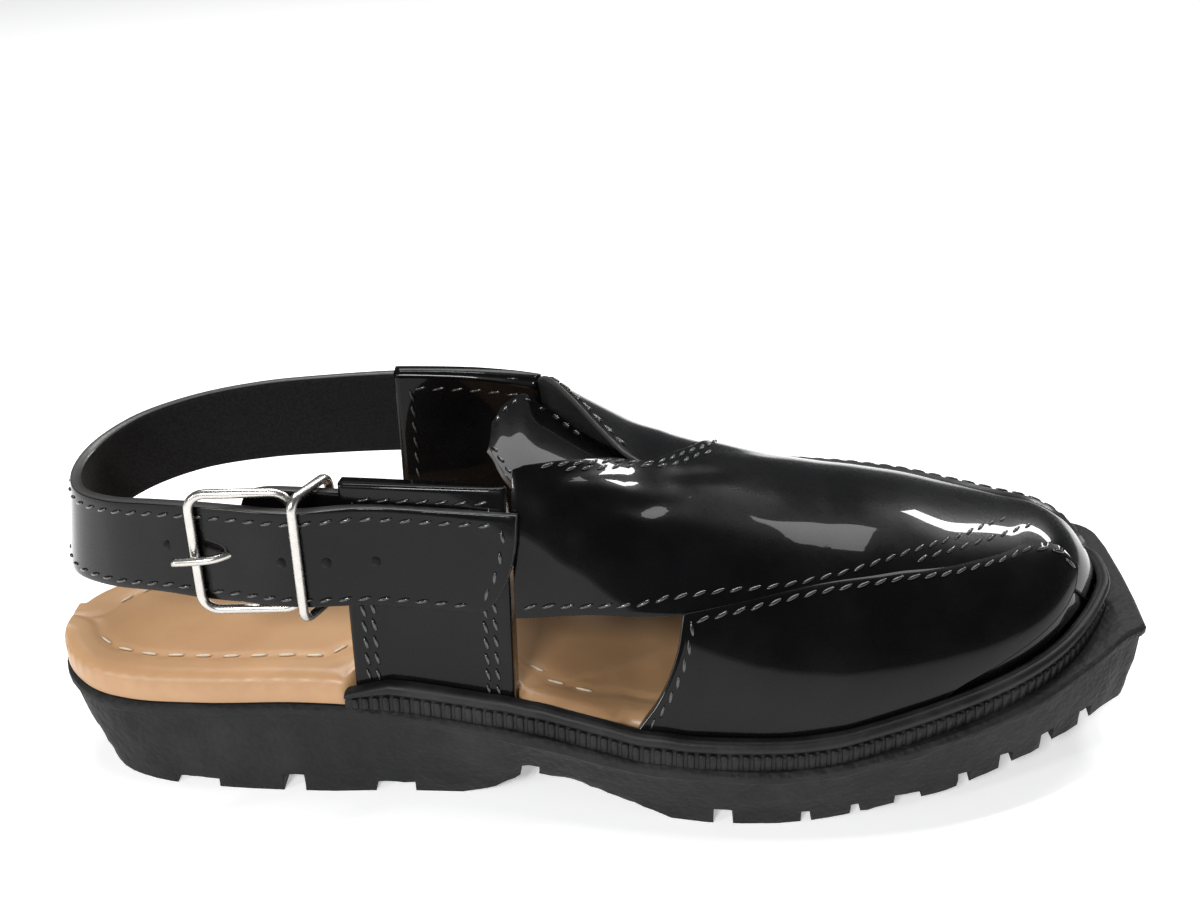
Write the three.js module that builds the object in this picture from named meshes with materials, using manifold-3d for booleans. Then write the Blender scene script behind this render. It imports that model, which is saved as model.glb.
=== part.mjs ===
// A right-foot peshawari chappal: crossed leather straps on a thick lugged rubber sole.
// Lengths are millimetres. X runs from the heel to the toe, -Y is the outer side, +Z is up.
// In the tables `at` is a share of soleLength, widths are shares of half the sole width,
// and every other column is a share of the size that its table names.

import * as THREE from 'three';
import { mergeVertices } from 'three/addons/utils/BufferGeometryUtils.js';
import Module from 'manifold-3d';

const wasm = await Module();
wasm.setup();

// Driving dimensions: the last and the sole.
const soleLength = 300;
const soleWidth = 104;
const heelHeight = 27;
const archRise = 9;
const toeSpring = 13;
const instepRise = 58;
const footWall = 6;
const clearance = 0.3;

// Outsole side.
const lipHeight = 4;
const lipInset = 1.1;
const heelTuck = 9;
const toeTuck = 4;
const lugDepth = 5.5;
const lugReach = 17;

// Welt strip: a round bead over a ribbed band.
const weltWidth = 3.4;
const beadHeight = 3.8;
const beadInset = 0.35;
const ribHeight = 4.4;
const ribDepth = 0.7;
const ribPitch = 3.7;

// Insole board with a rolled edge.
const insoleThickness = 8.5;
const insoleInset = 1.6;
const insoleRoll = 3.5;

// Leather of the upper: side panels stand over the crossing strap, and that over the inner strap.
const upperWall = 3.3;
const panelStep = 0.9;
const crossStep = 0.9;
const tabWall = 5.2;
const outerTabRise = 64.5;
const innerTabRise = 68;
const tabWidth = 42;

// Tongue under the crossing.
const tongueThickness = 1.8;

// Heel strap, and the short strap that holds its buckle.
const strapThickness = 2.8;
const strapWidth = 27;
const strapHoleRadius = 1.5;
const chapeThickness = 2.4;
const chapeWidth = 30;

// Wire of the buckle: frame, prong and keeper.
const wireRadius = 1.25;
const frameLength = 28;
const frameHeight = 36;
const frameCorner = 4.5;
const prongRadius = 1.1;
const eyeWall = 1;
const eyeWidth = 2.4;
const keeperHeight = 36.8;
const keeperCorner = 3;
const wireSides = 8;

const halfWidth = soleWidth / 2;

// Heights along the sole: tread in shares of toeSpring and archRise, body in shares of heelHeight.
const soleTable = [
  { at: 0, spring: 0.12, arch: 0, body: 0.98 },
  { at: 0.06, spring: 0, arch: 0, body: 0.95 },
  { at: 0.147, spring: 0, arch: 0, body: 0.985 },
  { at: 0.237, spring: 0, arch: 0, body: 1.05 },
  { at: 0.3, spring: 0, arch: 0, body: 1.07 },
  { at: 0.37, spring: 0, arch: 0, body: 1.02 },
  { at: 0.4, spring: 0, arch: 0.12, body: 0.95 },
  { at: 0.423, spring: 0, arch: 0.8, body: 0.71 },
  { at: 0.445, spring: 0, arch: 1, body: 0.61 },
  { at: 0.477, spring: 0, arch: 0.86, body: 0.6 },
  { at: 0.527, spring: 0, arch: 0.44, body: 0.64 },
  { at: 0.553, spring: 0, arch: 0, body: 0.77 },
  { at: 0.577, spring: 0, arch: 0, body: 0.745 },
  { at: 0.653, spring: 0, arch: 0, body: 0.725 },
  { at: 0.7, spring: 0.08, arch: 0, body: 0.725 },
  { at: 0.74, spring: 0.22, arch: 0, body: 0.735 },
  { at: 0.807, spring: 0.4, arch: 0, body: 0.765 },
  { at: 0.88, spring: 0.69, arch: 0, body: 0.745 },
  { at: 0.933, spring: 0.88, arch: 0, body: 0.78 },
  { at: 0.96, spring: 0.95, arch: 0, body: 0.85 },
  { at: 0.973, spring: 0.97, arch: 0, body: 0.885 },
  { at: 1, spring: 1, arch: 0, body: 0.87 },
];

// Plan of the sole, once round from the heel's middle along the outer side to the toe and back.
const soleOutline = [
  { at: 0, across: -0.03 },
  { at: 0.008, across: -0.27 },
  { at: 0.035, across: -0.45 },
  { at: 0.08, across: -0.56 },
  { at: 0.147, across: -0.62 },
  { at: 0.237, across: -0.665 },
  { at: 0.32, across: -0.73 },
  { at: 0.423, across: -0.83 },
  { at: 0.527, across: -0.945 },
  { at: 0.64, across: -1 },
  { at: 0.74, across: -0.945 },
  { at: 0.807, across: -0.845 },
  { at: 0.88, across: -0.655 },
  { at: 0.93, across: -0.46 },
  { at: 0.972, across: -0.28 },
  { at: 0.996, across: -0.17 },
  { at: 0.9985, across: -0.09 },
  { at: 0.999, across: 0.1 },
  { at: 1, across: 0.36 },
  { at: 0.999, across: 0.66 },
  { at: 0.993, across: 0.85 },
  { at: 0.965, across: 0.96 },
  { at: 0.9, across: 0.99 },
  { at: 0.82, across: 1 },
  { at: 0.72, across: 0.975 },
  { at: 0.62, across: 0.905 },
  { at: 0.52, across: 0.835 },
  { at: 0.4, across: 0.785 },
  { at: 0.27, across: 0.755 },
  { at: 0.13, across: 0.66 },
  { at: 0.05, across: 0.5 },
  { at: 0.012, across: 0.25 },
];
const toeRow = 18;
const soleStations = 50;

// How far the tread is tucked in under the edge, as a share of the half width.
const tuckTable = [
  { at: 0, tuck: 0.02 },
  { at: 0.18, tuck: 0.005 },
  { at: 0.24, tuck: 0.02 },
  { at: 0.32, tuck: 0.11 },
  { at: 0.42, tuck: 0.17 },
  { at: 0.52, tuck: 0.14 },
  { at: 0.6, tuck: 0.09 },
  { at: 0.8, tuck: 0.1 },
  { at: 1, tuck: 0.14 },
];

// Gaps between the lugs along both sides, wide as shares of soleLength, deep as shares of lugDepth.
const lugGaps = [
  { at: 0.133, width: 0.04, depth: 0.45 },
  { at: 0.223, width: 0.02, depth: 1 },
  { at: 0.315, width: 0.036, depth: 0.6 },
  { at: 0.438, width: 0.017, depth: 0.5 },
  { at: 0.608, width: 0.017, depth: 1 },
  { at: 0.68, width: 0.009, depth: 0.7 },
  { at: 0.723, width: 0.009, depth: 0.6 },
  { at: 0.77, width: 0.024, depth: 0.45 },
  { at: 0.82, width: 0.012, depth: 0.8 },
  { at: 0.86, width: 0.012, depth: 0.8 },
  { at: 0.9, width: 0.013, depth: 0.8 },
  { at: 0.94, width: 0.013, depth: 0.8 },
];

// The form over the foot. `rise` is the ridge over the foot line as a share of instepRise.
const formTable = [
  { at: 0.2, outer: 0.61, inner: 0.65, ridge: 0.04, rise: 1.5, fullness: 5.4, leanOut: 0.06, leanIn: -0.06 },
  { at: 0.28, outer: 0.64, inner: 0.68, ridge: 0.04, rise: 1.47, fullness: 5.2, leanOut: 0.06, leanIn: -0.06 },
  { at: 0.367, outer: 0.695, inner: 0.7, ridge: 0.04, rise: 1.38, fullness: 4.7, leanOut: 0.05, leanIn: -0.05 },
  { at: 0.433, outer: 0.756, inner: 0.715, ridge: 0.05, rise: 1.26, fullness: 4, leanOut: 0.02, leanIn: -0.03 },
  { at: 0.5, outer: 0.833, inner: 0.74, ridge: 0.06, rise: 1.12, fullness: 3.5, leanOut: 0, leanIn: 0 },
  { at: 0.55, outer: 0.89, inner: 0.77, ridge: 0.1, rise: 1.03, fullness: 3, leanOut: 0, leanIn: 0 },
  { at: 0.583, outer: 0.91, inner: 0.785, ridge: 0.115, rise: 0.99, fullness: 2.7, leanOut: 0, leanIn: 0 },
  { at: 0.633, outer: 0.915, inner: 0.84, ridge: 0.125, rise: 0.919, fullness: 2.5, leanOut: 0, leanIn: 0 },
  { at: 0.707, outer: 0.888, inner: 0.895, ridge: 0.135, rise: 0.81, fullness: 2.4, leanOut: 0, leanIn: 0 },
  { at: 0.773, outer: 0.798, inner: 0.9, ridge: 0.155, rise: 0.695, fullness: 2.3, leanOut: 0, leanIn: 0 },
  { at: 0.833, outer: 0.663, inner: 0.85, ridge: 0.183, rise: 0.569, fullness: 2.3, leanOut: 0, leanIn: 0 },
  { at: 0.873, outer: 0.535, inner: 0.76, ridge: 0.202, rise: 0.491, fullness: 2.3, leanOut: 0, leanIn: 0 },
  { at: 0.907, outer: 0.381, inner: 0.64, ridge: 0.215, rise: 0.422, fullness: 2.4, leanOut: 0, leanIn: 0 },
  { at: 0.933, outer: 0.208, inner: 0.5, ridge: 0.215, rise: 0.325, fullness: 2.4, leanOut: 0, leanIn: 0 },
  { at: 0.95, outer: 0.06, inner: 0.4, ridge: 0.21, rise: 0.2, fullness: 2.4, leanOut: 0, leanIn: 0 },
  { at: 0.96, outer: -0.07, inner: 0.32, ridge: 0.2, rise: 0.09, fullness: 2.4, leanOut: 0, leanIn: 0 },
];
const formStations = [
  0.2, 0.28, 0.32, 0.367, 0.4, 0.433, 0.467, 0.5, 0.525, 0.55, 0.583, 0.61, 0.633, 0.67,
  0.707, 0.74, 0.773, 0.803, 0.833, 0.873, 0.89, 0.907, 0.92, 0.933, 0.942, 0.95, 0.96,
];
const formArcs = 16;

// Plan of the throat, whose tip is where the straps cross.
const throatPlan = [
  { at: 0.1, across: -0.56 },
  { at: 0.433, across: -0.585 },
  { at: 0.46, across: -0.5 },
  { at: 0.487, across: -0.385 },
  { at: 0.52, across: -0.21 },
  { at: 0.545, across: -0.115 },
  { at: 0.528, across: -0.07 },
  { at: 0.507, across: 0.05 },
  { at: 0.484, across: 0.23 },
  { at: 0.46, across: 0.43 },
  { at: 0.443, across: 0.6 },
  { at: 0.1, across: 0.6 },
];

// Plan of the crossing strap, which runs from the outer tab over the instep to the toe.
const crossPlan = [
  { at: 0.1, across: -1.5 },
  { at: 1.1, across: -1.5 },
  { at: 1.1, across: 1.5 },
  { at: 0.597, across: 1.5 },
  { at: 0.597, across: 0.8 },
  { at: 0.602, across: 0.62 },
  { at: 0.6, across: 0.42 },
  { at: 0.588, across: 0.22 },
  { at: 0.573, across: 0.1 },
  { at: 0.545, across: -0.115 },
  { at: 0.5, across: -0.16 },
  { at: 0.1, across: -0.16 },
];

// Side views of the toe panels. `up` is a share of instepRise over the floor.
const outerPanel = [
  { at: 0.515, up: 0.2 },
  { at: 0.532, up: 0.47 },
  { at: 0.551, up: 0.65 },
  { at: 0.567, up: 0.88 },
  { at: 0.573, up: 1.06 },
  { at: 0.627, up: 1.085 },
  { at: 0.694, up: 1.105 },
  { at: 0.757, up: 1.098 },
  { at: 0.81, up: 1.07 },
  { at: 0.86, up: 1.05 },
  { at: 0.878, up: 1.047 },
  { at: 0.907, up: 1.02 },
  { at: 0.93, up: 0.92 },
  { at: 0.921, up: 0.84 },
  { at: 0.895, up: 0.765 },
  { at: 0.85, up: 0.69 },
  { at: 0.8, up: 0.6 },
  { at: 0.76, up: 0.2 },
];
const innerPanel = [
  { at: 0.53, up: 0.2 },
  { at: 0.548, up: 0.47 },
  { at: 0.57, up: 0.7 },
  { at: 0.585, up: 0.9 },
  { at: 0.592, up: 1.07 },
  { at: 0.64, up: 1.16 },
  { at: 0.717, up: 1.17 },
  { at: 0.773, up: 1.14 },
  { at: 0.833, up: 1.09 },
  { at: 0.873, up: 1.06 },
  { at: 0.92, up: 1.02 },
  { at: 0.97, up: 0.9 },
  { at: 0.97, up: 0.2 },
];
const outerPanelReach = 0.02;
const innerPanelReach = 0.21;

// Side views of the openings between tab, strap and panel.
const outerTabStart = 0.288;
const innerTabStart = 0.306;
const outerOpening = [
  { at: outerTabStart, up: 0.1 },
  { at: outerTabStart, up: 0.95 },
  { at: 0.4377, up: 0.998 },
  { at: 0.508, up: 1.053 },
  { at: 0.573, up: 1.062 },
  { at: 0.567, up: 0.88 },
  { at: 0.551, up: 0.65 },
  { at: 0.532, up: 0.47 },
  { at: 0.515, up: 0.1 },
];
const innerOpening = [
  { at: innerTabStart, up: 0.1 },
  { at: innerTabStart, up: 0.98 },
  { at: 0.445, up: 1.03 },
  { at: 0.52, up: 1.07 },
  { at: 0.592, up: 1.075 },
  { at: 0.585, up: 0.9 },
  { at: 0.57, up: 0.7 },
  { at: 0.548, up: 0.47 },
  { at: 0.53, up: 0.1 },
];

// The tongue: its plan and how high each edge and its middle lie over the floor, in instepRise.
const tongueTable = [
  { at: 0.405, outer: -0.07, inner: 0.14, outerUp: 1.535, middleUp: 1.55, innerUp: 1.57 },
  { at: 0.415, outer: -0.2, inner: 0.3, outerUp: 1.5, middleUp: 1.56, innerUp: 1.6 },
  { at: 0.43, outer: -0.31, inner: 0.42, outerUp: 1.44, middleUp: 1.55, innerUp: 1.6 },
  { at: 0.45, outer: -0.4, inner: 0.42, outerUp: 1.38, middleUp: 1.52, innerUp: 1.53 },
  { at: 0.48, outer: -0.44, inner: 0.24, outerUp: 1.37, middleUp: 1.485, innerUp: 1.49 },
  { at: 0.51, outer: -0.45, inner: 0.1, outerUp: 1.4, middleUp: 1.465, innerUp: 1.46 },
  { at: 0.54, outer: -0.44, inner: 0.03, outerUp: 1.375, middleUp: 1.43, innerUp: 1.43 },
  { at: 0.58, outer: -0.4, inner: 0.1, outerUp: 1.318, middleUp: 1.378, innerUp: 1.378 },
];
const tongueStations = 14;
const tongueAcross = 8;

// The heel strap. `top` is a share of instepRise over the floor, `width` one of strapWidth, and
// `lean` sets the lower edge back. A row with a `side` lies on that side's tab, `away` from it.
const inTab = -tabWall / 2;
const overTab = 2 * clearance + strapThickness / 2;
const strapTable = [
  { at: 0.424, side: 1, away: inTab, top: 1.625, width: 0.91, lean: 0 },
  { at: 0.37, side: 1, away: inTab, top: 1.625, width: 0.91, lean: 0 },
  { at: 0.31, side: 1, away: inTab, top: 1.625, width: 0.9, lean: 0 },
  { at: 0.24, across: 0.655, top: 1.605, width: 0.88, lean: 0 },
  { at: 0.177, across: 0.635, top: 1.58, width: 0.86, lean: 0 },
  { at: 0.115, across: 0.575, top: 1.535, width: 0.84, lean: 0.003 },
  { at: 0.066, across: 0.455, top: 1.48, width: 0.87, lean: 0.008 },
  { at: 0.038, across: 0.25, top: 1.43, width: 0.91, lean: 0.013 },
  { at: 0.033, across: 0, top: 1.405, width: 0.94, lean: 0.014 },
  { at: 0.046, across: -0.2, top: 1.4, width: 0.94, lean: 0.013 },
  { at: 0.079, across: -0.36, top: 1.425, width: 0.95, lean: 0.009 },
  { at: 0.13, across: -0.483, top: 1.465, width: 0.965, lean: 0.004 },
  { at: 0.163, across: -0.545, top: 1.483, width: 1, lean: 0 },
  { at: 0.2, across: -0.61, top: 1.497, width: 1, lean: 0 },
  { at: 0.25, across: -0.682, top: 1.51, width: 1, lean: 0 },
  { at: 0.31, side: -1, away: overTab, top: 1.515, width: 1, lean: 0 },
  { at: 0.37, side: -1, away: overTab, top: 1.512, width: 0.99, lean: 0 },
  { at: 0.437, side: -1, away: overTab, top: 1.5, width: 0.97, lean: 0 },
];
const strapSteps = 46;
const strapHoles = [0.137, 0.194, 0.24, 0.277, 0.318];
const strapHoleHeight = 1.267;

// The short strap, from its rounded end behind the buckle into the outer tab, as above.
const chapeTable = [
  { at: 0.203, across: -0.527, top: 1.45, width: 0.6, lean: 0 },
  { at: 0.209, across: -0.527, top: 1.52, width: 0.9, lean: 0 },
  { at: 0.222, across: -0.527, top: 1.545, width: 1, lean: 0 },
  { at: 0.255, across: -0.53, top: 1.545, width: 1, lean: 0 },
  { at: 0.3, side: -1, away: inTab, top: 1.54, width: 0.98, lean: 0 },
  { at: 0.36, side: -1, away: inTab, top: 1.54, width: 0.98, lean: 0 },
  { at: 0.41, side: -1, away: inTab, top: 1.535, width: 0.97, lean: 0 },
];
const chapeSteps = 22;
const chapeLoopWall = 1.1;
const chapeLoopHeight = 23;

// Plan places of the pivot bar and of the prong from its eye to the strap's hole. From there on the
// prong lies over the rest bar: `ahead` of it, `over` its surface and `down` from the hole's height.
const pivotBar = { at: 0.248, across: -0.588 };
const prongPath = [
  { at: 0.2415, across: -0.59 },
  { at: 0.21, across: -0.58 },
  { at: 0.199, across: -0.586 },
];
const prongOverBar = [
  { ahead: 7.2, over: -0.65, down: 0.2 },
  { ahead: 4.8, over: 0.35, down: 0.4 },
  { ahead: -0.3, over: 0.6, down: 0.8 },
  { ahead: -5.1, over: 0.35, down: 1.2 },
];
const keeperOuterBar = { at: 0.255, across: -0.742 };
const keeperInnerBar = { at: 0.277, across: -0.475 };
const keeperHeightAt = 1.29;

// Monotone cubic through one named column of a table.
function column(table, name) {
  const count = table.length;
  const slopes = [];
  for (let row = 0; row < count - 1; row += 1) {
    slopes.push((table[row + 1][name] - table[row][name]) / (table[row + 1].at - table[row].at));
  }
  const tangents = table.map((_, row) => {
    if (row === 0) return slopes[0];
    if (row === count - 1) return slopes[count - 2];
    const before = slopes[row - 1];
    const after = slopes[row];
    return before * after <= 0 ? 0 : (2 * before * after) / (before + after);
  });
  return (at) => {
    const wanted = THREE.MathUtils.clamp(at, table[0].at, table[count - 1].at);
    let row = 0;
    while (row < count - 2 && table[row + 1].at < wanted) row += 1;
    const span = table[row + 1].at - table[row].at;
    const t = (wanted - table[row].at) / span;
    const rise = table[row + 1][name] - table[row][name];
    const start = tangents[row] * span;
    const end = tangents[row + 1] * span;
    return table[row][name] + t * start
      + t * t * (3 * rise - 2 * start - end)
      + t * t * t * (start + end - 2 * rise);
  };
}

const springAt = column(soleTable, 'spring');
const archAt = column(soleTable, 'arch');
const bodyAt = column(soleTable, 'body');
const tuckAt = column(tuckTable, 'tuck');
const formColumns = {};
for (const name of ['outer', 'inner', 'ridge', 'rise', 'fullness', 'leanOut', 'leanIn']) {
  formColumns[name] = column(formTable, name);
}

// Height of the tread and of the seat on top of the outsole, at a place along the sole.
function treadHeight(along) {
  const at = along / soleLength;
  return springAt(at) * toeSpring + archAt(at) * archRise;
}

function seatHeight(along) {
  return treadHeight(along) + bodyAt(along / soleLength) * heelHeight;
}

function footHeight(along) {
  return seatHeight(along) + footWall;
}

// Closed surface from rings of equal length, capped at both ends unless the rings close up.
function loft(rings, closed = false) {
  const size = rings[0].length;
  const positions = rings.flat().flatMap((point) => [point.x, point.y, point.z]);
  const faces = [];
  const turns = closed ? rings.length : rings.length - 1;
  for (let ring = 0; ring < turns; ring += 1) {
    const here = ring * size;
    const next = ((ring + 1) % rings.length) * size;
    for (let step = 0; step < size; step += 1) {
      const after = (step + 1) % size;
      faces.push(here + step, here + after, next + after);
      faces.push(here + step, next + after, next + step);
    }
  }
  if (!closed) {
    faces.push(...ladder(0, size, false));
    faces.push(...ladder((rings.length - 1) * size, size, true));
  }
  const geometry = new THREE.BufferGeometry();
  geometry.setAttribute('position', new THREE.Float32BufferAttribute(positions, 3));
  geometry.setIndex(signedVolume(positions, faces) < 0 ? reversed(faces) : faces);
  return geometry;
}

// Cap of one ring, as rungs between its two sides.
function ladder(first, size, flip) {
  const faces = [];
  let low = 0;
  let high = size - 1;
  while (high - low > 1) {
    faces.push(first + low, first + high, first + low + 1);
    low += 1;
    if (high - low > 1) faces.push(first + low, first + high, first + high - 1);
    high -= 1;
  }
  return flip ? reversed(faces) : faces;
}

function reversed(faces) {
  const turned = [];
  for (let face = 0; face < faces.length; face += 3) {
    turned.push(faces[face], faces[face + 2], faces[face + 1]);
  }
  return turned;
}

function signedVolume(positions, faces) {
  let volume = 0;
  const corners = [new THREE.Vector3(), new THREE.Vector3(), new THREE.Vector3()];
  for (let face = 0; face < faces.length; face += 3) {
    corners.forEach((corner, index) => corner.fromArray(positions, faces[face + index] * 3));
    volume += corners[0].dot(corners[1].cross(corners[2]));
  }
  return volume;
}

// A three.js geometry as a solid for cutting and joining, and back.
function solidOf(geometry) {
  const bare = geometry.clone();
  bare.deleteAttribute('normal');
  bare.deleteAttribute('uv');
  const merged = mergeVertices(bare, 1e-4);
  const mesh = new wasm.Mesh({
    numProp: 3,
    vertProperties: new Float32Array(merged.attributes.position.array),
    triVerts: new Uint32Array(merged.index.array),
  });
  return new wasm.Manifold(mesh);
}

function geometryOf(solid) {
  const mesh = solid.getMesh();
  const geometry = new THREE.BufferGeometry();
  geometry.setAttribute('position', new THREE.BufferAttribute(mesh.vertProperties, 3));
  geometry.setIndex(new THREE.BufferAttribute(mesh.triVerts, 1));
  return geometry;
}

// Upright prism over a plan given in table rows.
function planPrism(rows, low, high) {
  const corners = rows.map((row) => new THREE.Vector2(row.at * soleLength, row.across * halfWidth));
  const geometry = new THREE.ExtrudeGeometry(new THREE.Shape(corners), { depth: high - low, bevelEnabled: false });
  geometry.translate(0, 0, low);
  return solidOf(geometry);
}

// Prism across the shoe over a side view given in table rows.
function sidePrism(rows, fromAcross, toAcross) {
  const corners = rows.map((row) => new THREE.Vector2(row.at * soleLength, row.up * instepRise));
  const geometry = new THREE.ExtrudeGeometry(new THREE.Shape(corners), {
    depth: toAcross - fromAcross,
    bevelEnabled: false,
  });
  geometry.rotateX(Math.PI / 2);
  geometry.translate(0, toAcross, 0);
  return solidOf(geometry);
}

function block(low, high) {
  const size = new THREE.Vector3().subVectors(high, low);
  const geometry = new THREE.BoxGeometry(size.x, size.y, size.z);
  geometry.translate((low.x + high.x) / 2, (low.y + high.y) / 2, (low.z + high.z) / 2);
  return solidOf(geometry);
}

// Plan of the sole as evenly spaced stations, outer side first, with outward directions.
const outlineCurve = new THREE.CatmullRomCurve3(
  soleOutline.map((row) => new THREE.Vector3(row.at * soleLength, row.across * halfWidth, 0)),
  true,
  'centripetal',
);

const toePlace = toeRow / soleOutline.length;

// The curve's parameter where the outer (-1) or inner (+1) side reaches a place along the sole.
function outlinePlace(along, side) {
  const heelPlace = side < 0 ? 0 : 1;
  let low = 0;
  let high = 1;
  for (let pass = 0; pass < 40; pass += 1) {
    const middle = (low + high) / 2;
    const point = outlineCurve.getPoint(THREE.MathUtils.lerp(heelPlace, toePlace, middle));
    if (point.x < along) low = middle;
    else high = middle;
  }
  return THREE.MathUtils.lerp(heelPlace, toePlace, low);
}

function outlineStation(place) {
  const tangent = outlineCurve.getTangent(place);
  return {
    point: outlineCurve.getPoint(place),
    outward: new THREE.Vector3(tangent.y, -tangent.x, 0),
  };
}

// Both sides have their stations at the same places along the sole, closest at heel and toe.
const outline = [];
for (let step = 0; step < 2 * soleStations; step += 1) {
  const along = (soleLength * (1 - Math.cos((Math.PI * step) / soleStations))) / 2;
  const onEnd = step % soleStations === 0;
  const endPlace = step === 0 ? 0 : toePlace;
  outline.push(outlineStation(onEnd ? endPlace : outlinePlace(along, step < soleStations ? -1 : 1)));
}

// Where the sole's edge lies on one side at a place along it.
function soleEdge(along, side) {
  return outlineCurve.getPoint(outlinePlace(along, side)).y;
}

// Moves a point of the plan in under the edge, heel and toe most.
function tucked(point, amount) {
  const at = point.x / soleLength;
  const heelPart = Math.max(0, 1 - at / 0.24);
  const toePart = Math.max(0, (at - 0.9) / 0.1);
  return new THREE.Vector3(
    point.x + amount * (heelTuck * heelPart * heelPart - toeTuck * toePart * toePart),
    point.y * (1 - amount * tuckAt(at)),
    0,
  );
}

function soleRing(tuck, inset, height) {
  return outline.map((station) => {
    const point = tucked(station.point, tuck).addScaledVector(station.outward, -inset);
    point.z = height(point.x);
    return point;
  });
}

function buildOutsole() {
  const body = loft([
    soleRing(1, 0, treadHeight),
    soleRing(0.4, 0.3, (along) => THREE.MathUtils.lerp(treadHeight(along), seatHeight(along), 0.5)),
    soleRing(0, lipInset, (along) => seatHeight(along) - lipHeight),
    soleRing(0, 0, (along) => seatHeight(along) - lipHeight * 0.7),
    soleRing(0, 0, (along) => seatHeight(along) - lipHeight * 0.25),
    soleRing(0, lipInset, seatHeight),
  ]);
  let sole = solidOf(body);
  for (const gap of lugGaps) {
    const along = gap.at * soleLength;
    const halfGap = (gap.width * soleLength) / 2;
    const ceiling = treadHeight(along) + gap.depth * lugDepth;
    for (const side of [-1, 1]) {
      const edge = soleEdge(along, side);
      const inward = edge - side * lugReach;
      const outward = edge + side * lugReach;
      sole = sole.subtract(block(
        new THREE.Vector3(along - halfGap, Math.min(inward, outward), -lugDepth),
        new THREE.Vector3(along + halfGap, Math.max(inward, outward), ceiling),
      ));
    }
  }
  return geometryOf(sole);
}

// The form's half breadth and height at a place along the shoe.
function formShape(along) {
  const at = along / soleLength;
  return {
    outer: -formColumns.outer(at) * halfWidth,
    inner: formColumns.inner(at) * halfWidth,
    ridge: formColumns.ridge(at) * halfWidth,
    foot: footHeight(along),
    rise: formColumns.rise(at) * instepRise,
    fullness: formColumns.fullness(at),
    leanOut: formColumns.leanOut(at) * halfWidth,
    leanIn: formColumns.leanIn(at) * halfWidth,
  };
}

// Where the form's side lies at a height, on the outer (-1) or inner (+1) side.
function formSide(along, height, side) {
  const shape = formShape(along);
  const climb = THREE.MathUtils.clamp((height - shape.foot) / shape.rise, 0, 0.999);
  const spread = Math.pow(1 - Math.pow(climb, shape.fullness), 1 / shape.fullness);
  const lean = (side < 0 ? shape.leanOut : shape.leanIn) * climb * spread;
  const edge = side < 0 ? shape.outer : shape.inner;
  return shape.ridge + (edge - shape.ridge) * spread - side * lean;
}

// Points of the form's section from the outer foot over the ridge to the inner foot.
function formSection(along) {
  const shape = formShape(along);
  const points = [new THREE.Vector3(along, shape.outer, seatHeight(along))];
  for (let step = 0; step <= formArcs; step += 1) {
    const angle = (Math.PI * step) / formArcs;
    const side = step < formArcs / 2 ? -1 : 1;
    const spread = Math.pow(Math.abs(Math.cos(angle)), 2 / shape.fullness);
    const climb = Math.pow(Math.sin(angle), 2 / shape.fullness);
    const edge = side < 0 ? shape.outer : shape.inner;
    const lean = (side < 0 ? shape.leanOut : shape.leanIn) * climb * spread;
    points.push(new THREE.Vector3(
      along,
      shape.ridge + (edge - shape.ridge) * spread - side * lean,
      shape.foot + shape.rise * climb,
    ));
  }
  points.push(new THREE.Vector3(along, shape.inner, seatHeight(along)));
  return points;
}

const formGrid = formStations.map((at) => formSection(at * soleLength));

function formNormal(row, step) {
  const rows = formGrid.length;
  const size = formGrid[0].length;
  const ahead = formGrid[Math.min(row + 1, rows - 1)][step];
  const behind = formGrid[Math.max(row - 1, 0)][step];
  const left = formGrid[row][Math.max(step - 1, 0)];
  const right = formGrid[row][Math.min(step + 1, size - 1)];
  const alongward = new THREE.Vector3().subVectors(ahead, behind);
  const crossward = new THREE.Vector3().subVectors(right, left);
  const normal = alongward.cross(crossward).normalize();
  if (row === rows - 1) normal.add(new THREE.Vector3(0.8, 0, 0)).normalize();
  if (step < 2 || step > size - 3) normal.setZ(0).normalize();
  return normal;
}

// The form grown outwards by an offset, closed below by a floor that is dropped under the seat.
function formBody(offset, drop) {
  const rings = formGrid.map((section, row) => section.map((point, step) => {
    const moved = point.clone().addScaledVector(formNormal(row, step), offset);
    if (step === 0 || step === section.length - 1) moved.z = point.z - drop;
    return moved;
  }));
  return solidOf(loft(rings));
}

// Everything lower than the seat plus the clearance, as one slab under the upper.
function underSeat() {
  const reach = soleWidth;
  const rings = outline.slice(0, soleStations + 1).map((station) => {
    const along = station.point.x;
    const top = seatHeight(along) + clearance;
    return [
      new THREE.Vector3(along, -reach, top),
      new THREE.Vector3(along, -reach, -soleWidth),
      new THREE.Vector3(along, reach, -soleWidth),
      new THREE.Vector3(along, reach, top),
    ];
  });
  return solidOf(loft(rings));
}

const far = 2 * soleLength;

// A slab of one side of the shoe (-1 outer, +1 inner) between two places along it.
function sideSlab(side, from, to, top) {
  return block(
    new THREE.Vector3(from, side < 0 ? -far : 0, -far),
    new THREE.Vector3(to, side < 0 ? 0 : far, top),
  );
}

// One ankle tab: a thick folded band of the form's side.
function buildTab(side, start, rise) {
  const from = start * soleLength;
  const to = from + tabWidth;
  const band = formBody(0, 3).subtract(formBody(-tabWall, 8));
  return band.intersect(sideSlab(side, from, to, seatHeight((from + to) / 2) + rise));
}

// The room that both tabs and their clearance take, out to either side.
function aroundTabs() {
  const zone = (side, start) => sideSlab(
    side,
    start * soleLength - clearance,
    start * soleLength + tabWidth + clearance,
    far,
  );
  return zone(-1, outerTabStart).add(zone(1, innerTabStart)).subtract(formBody(-tabWall - clearance, 20));
}

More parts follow.
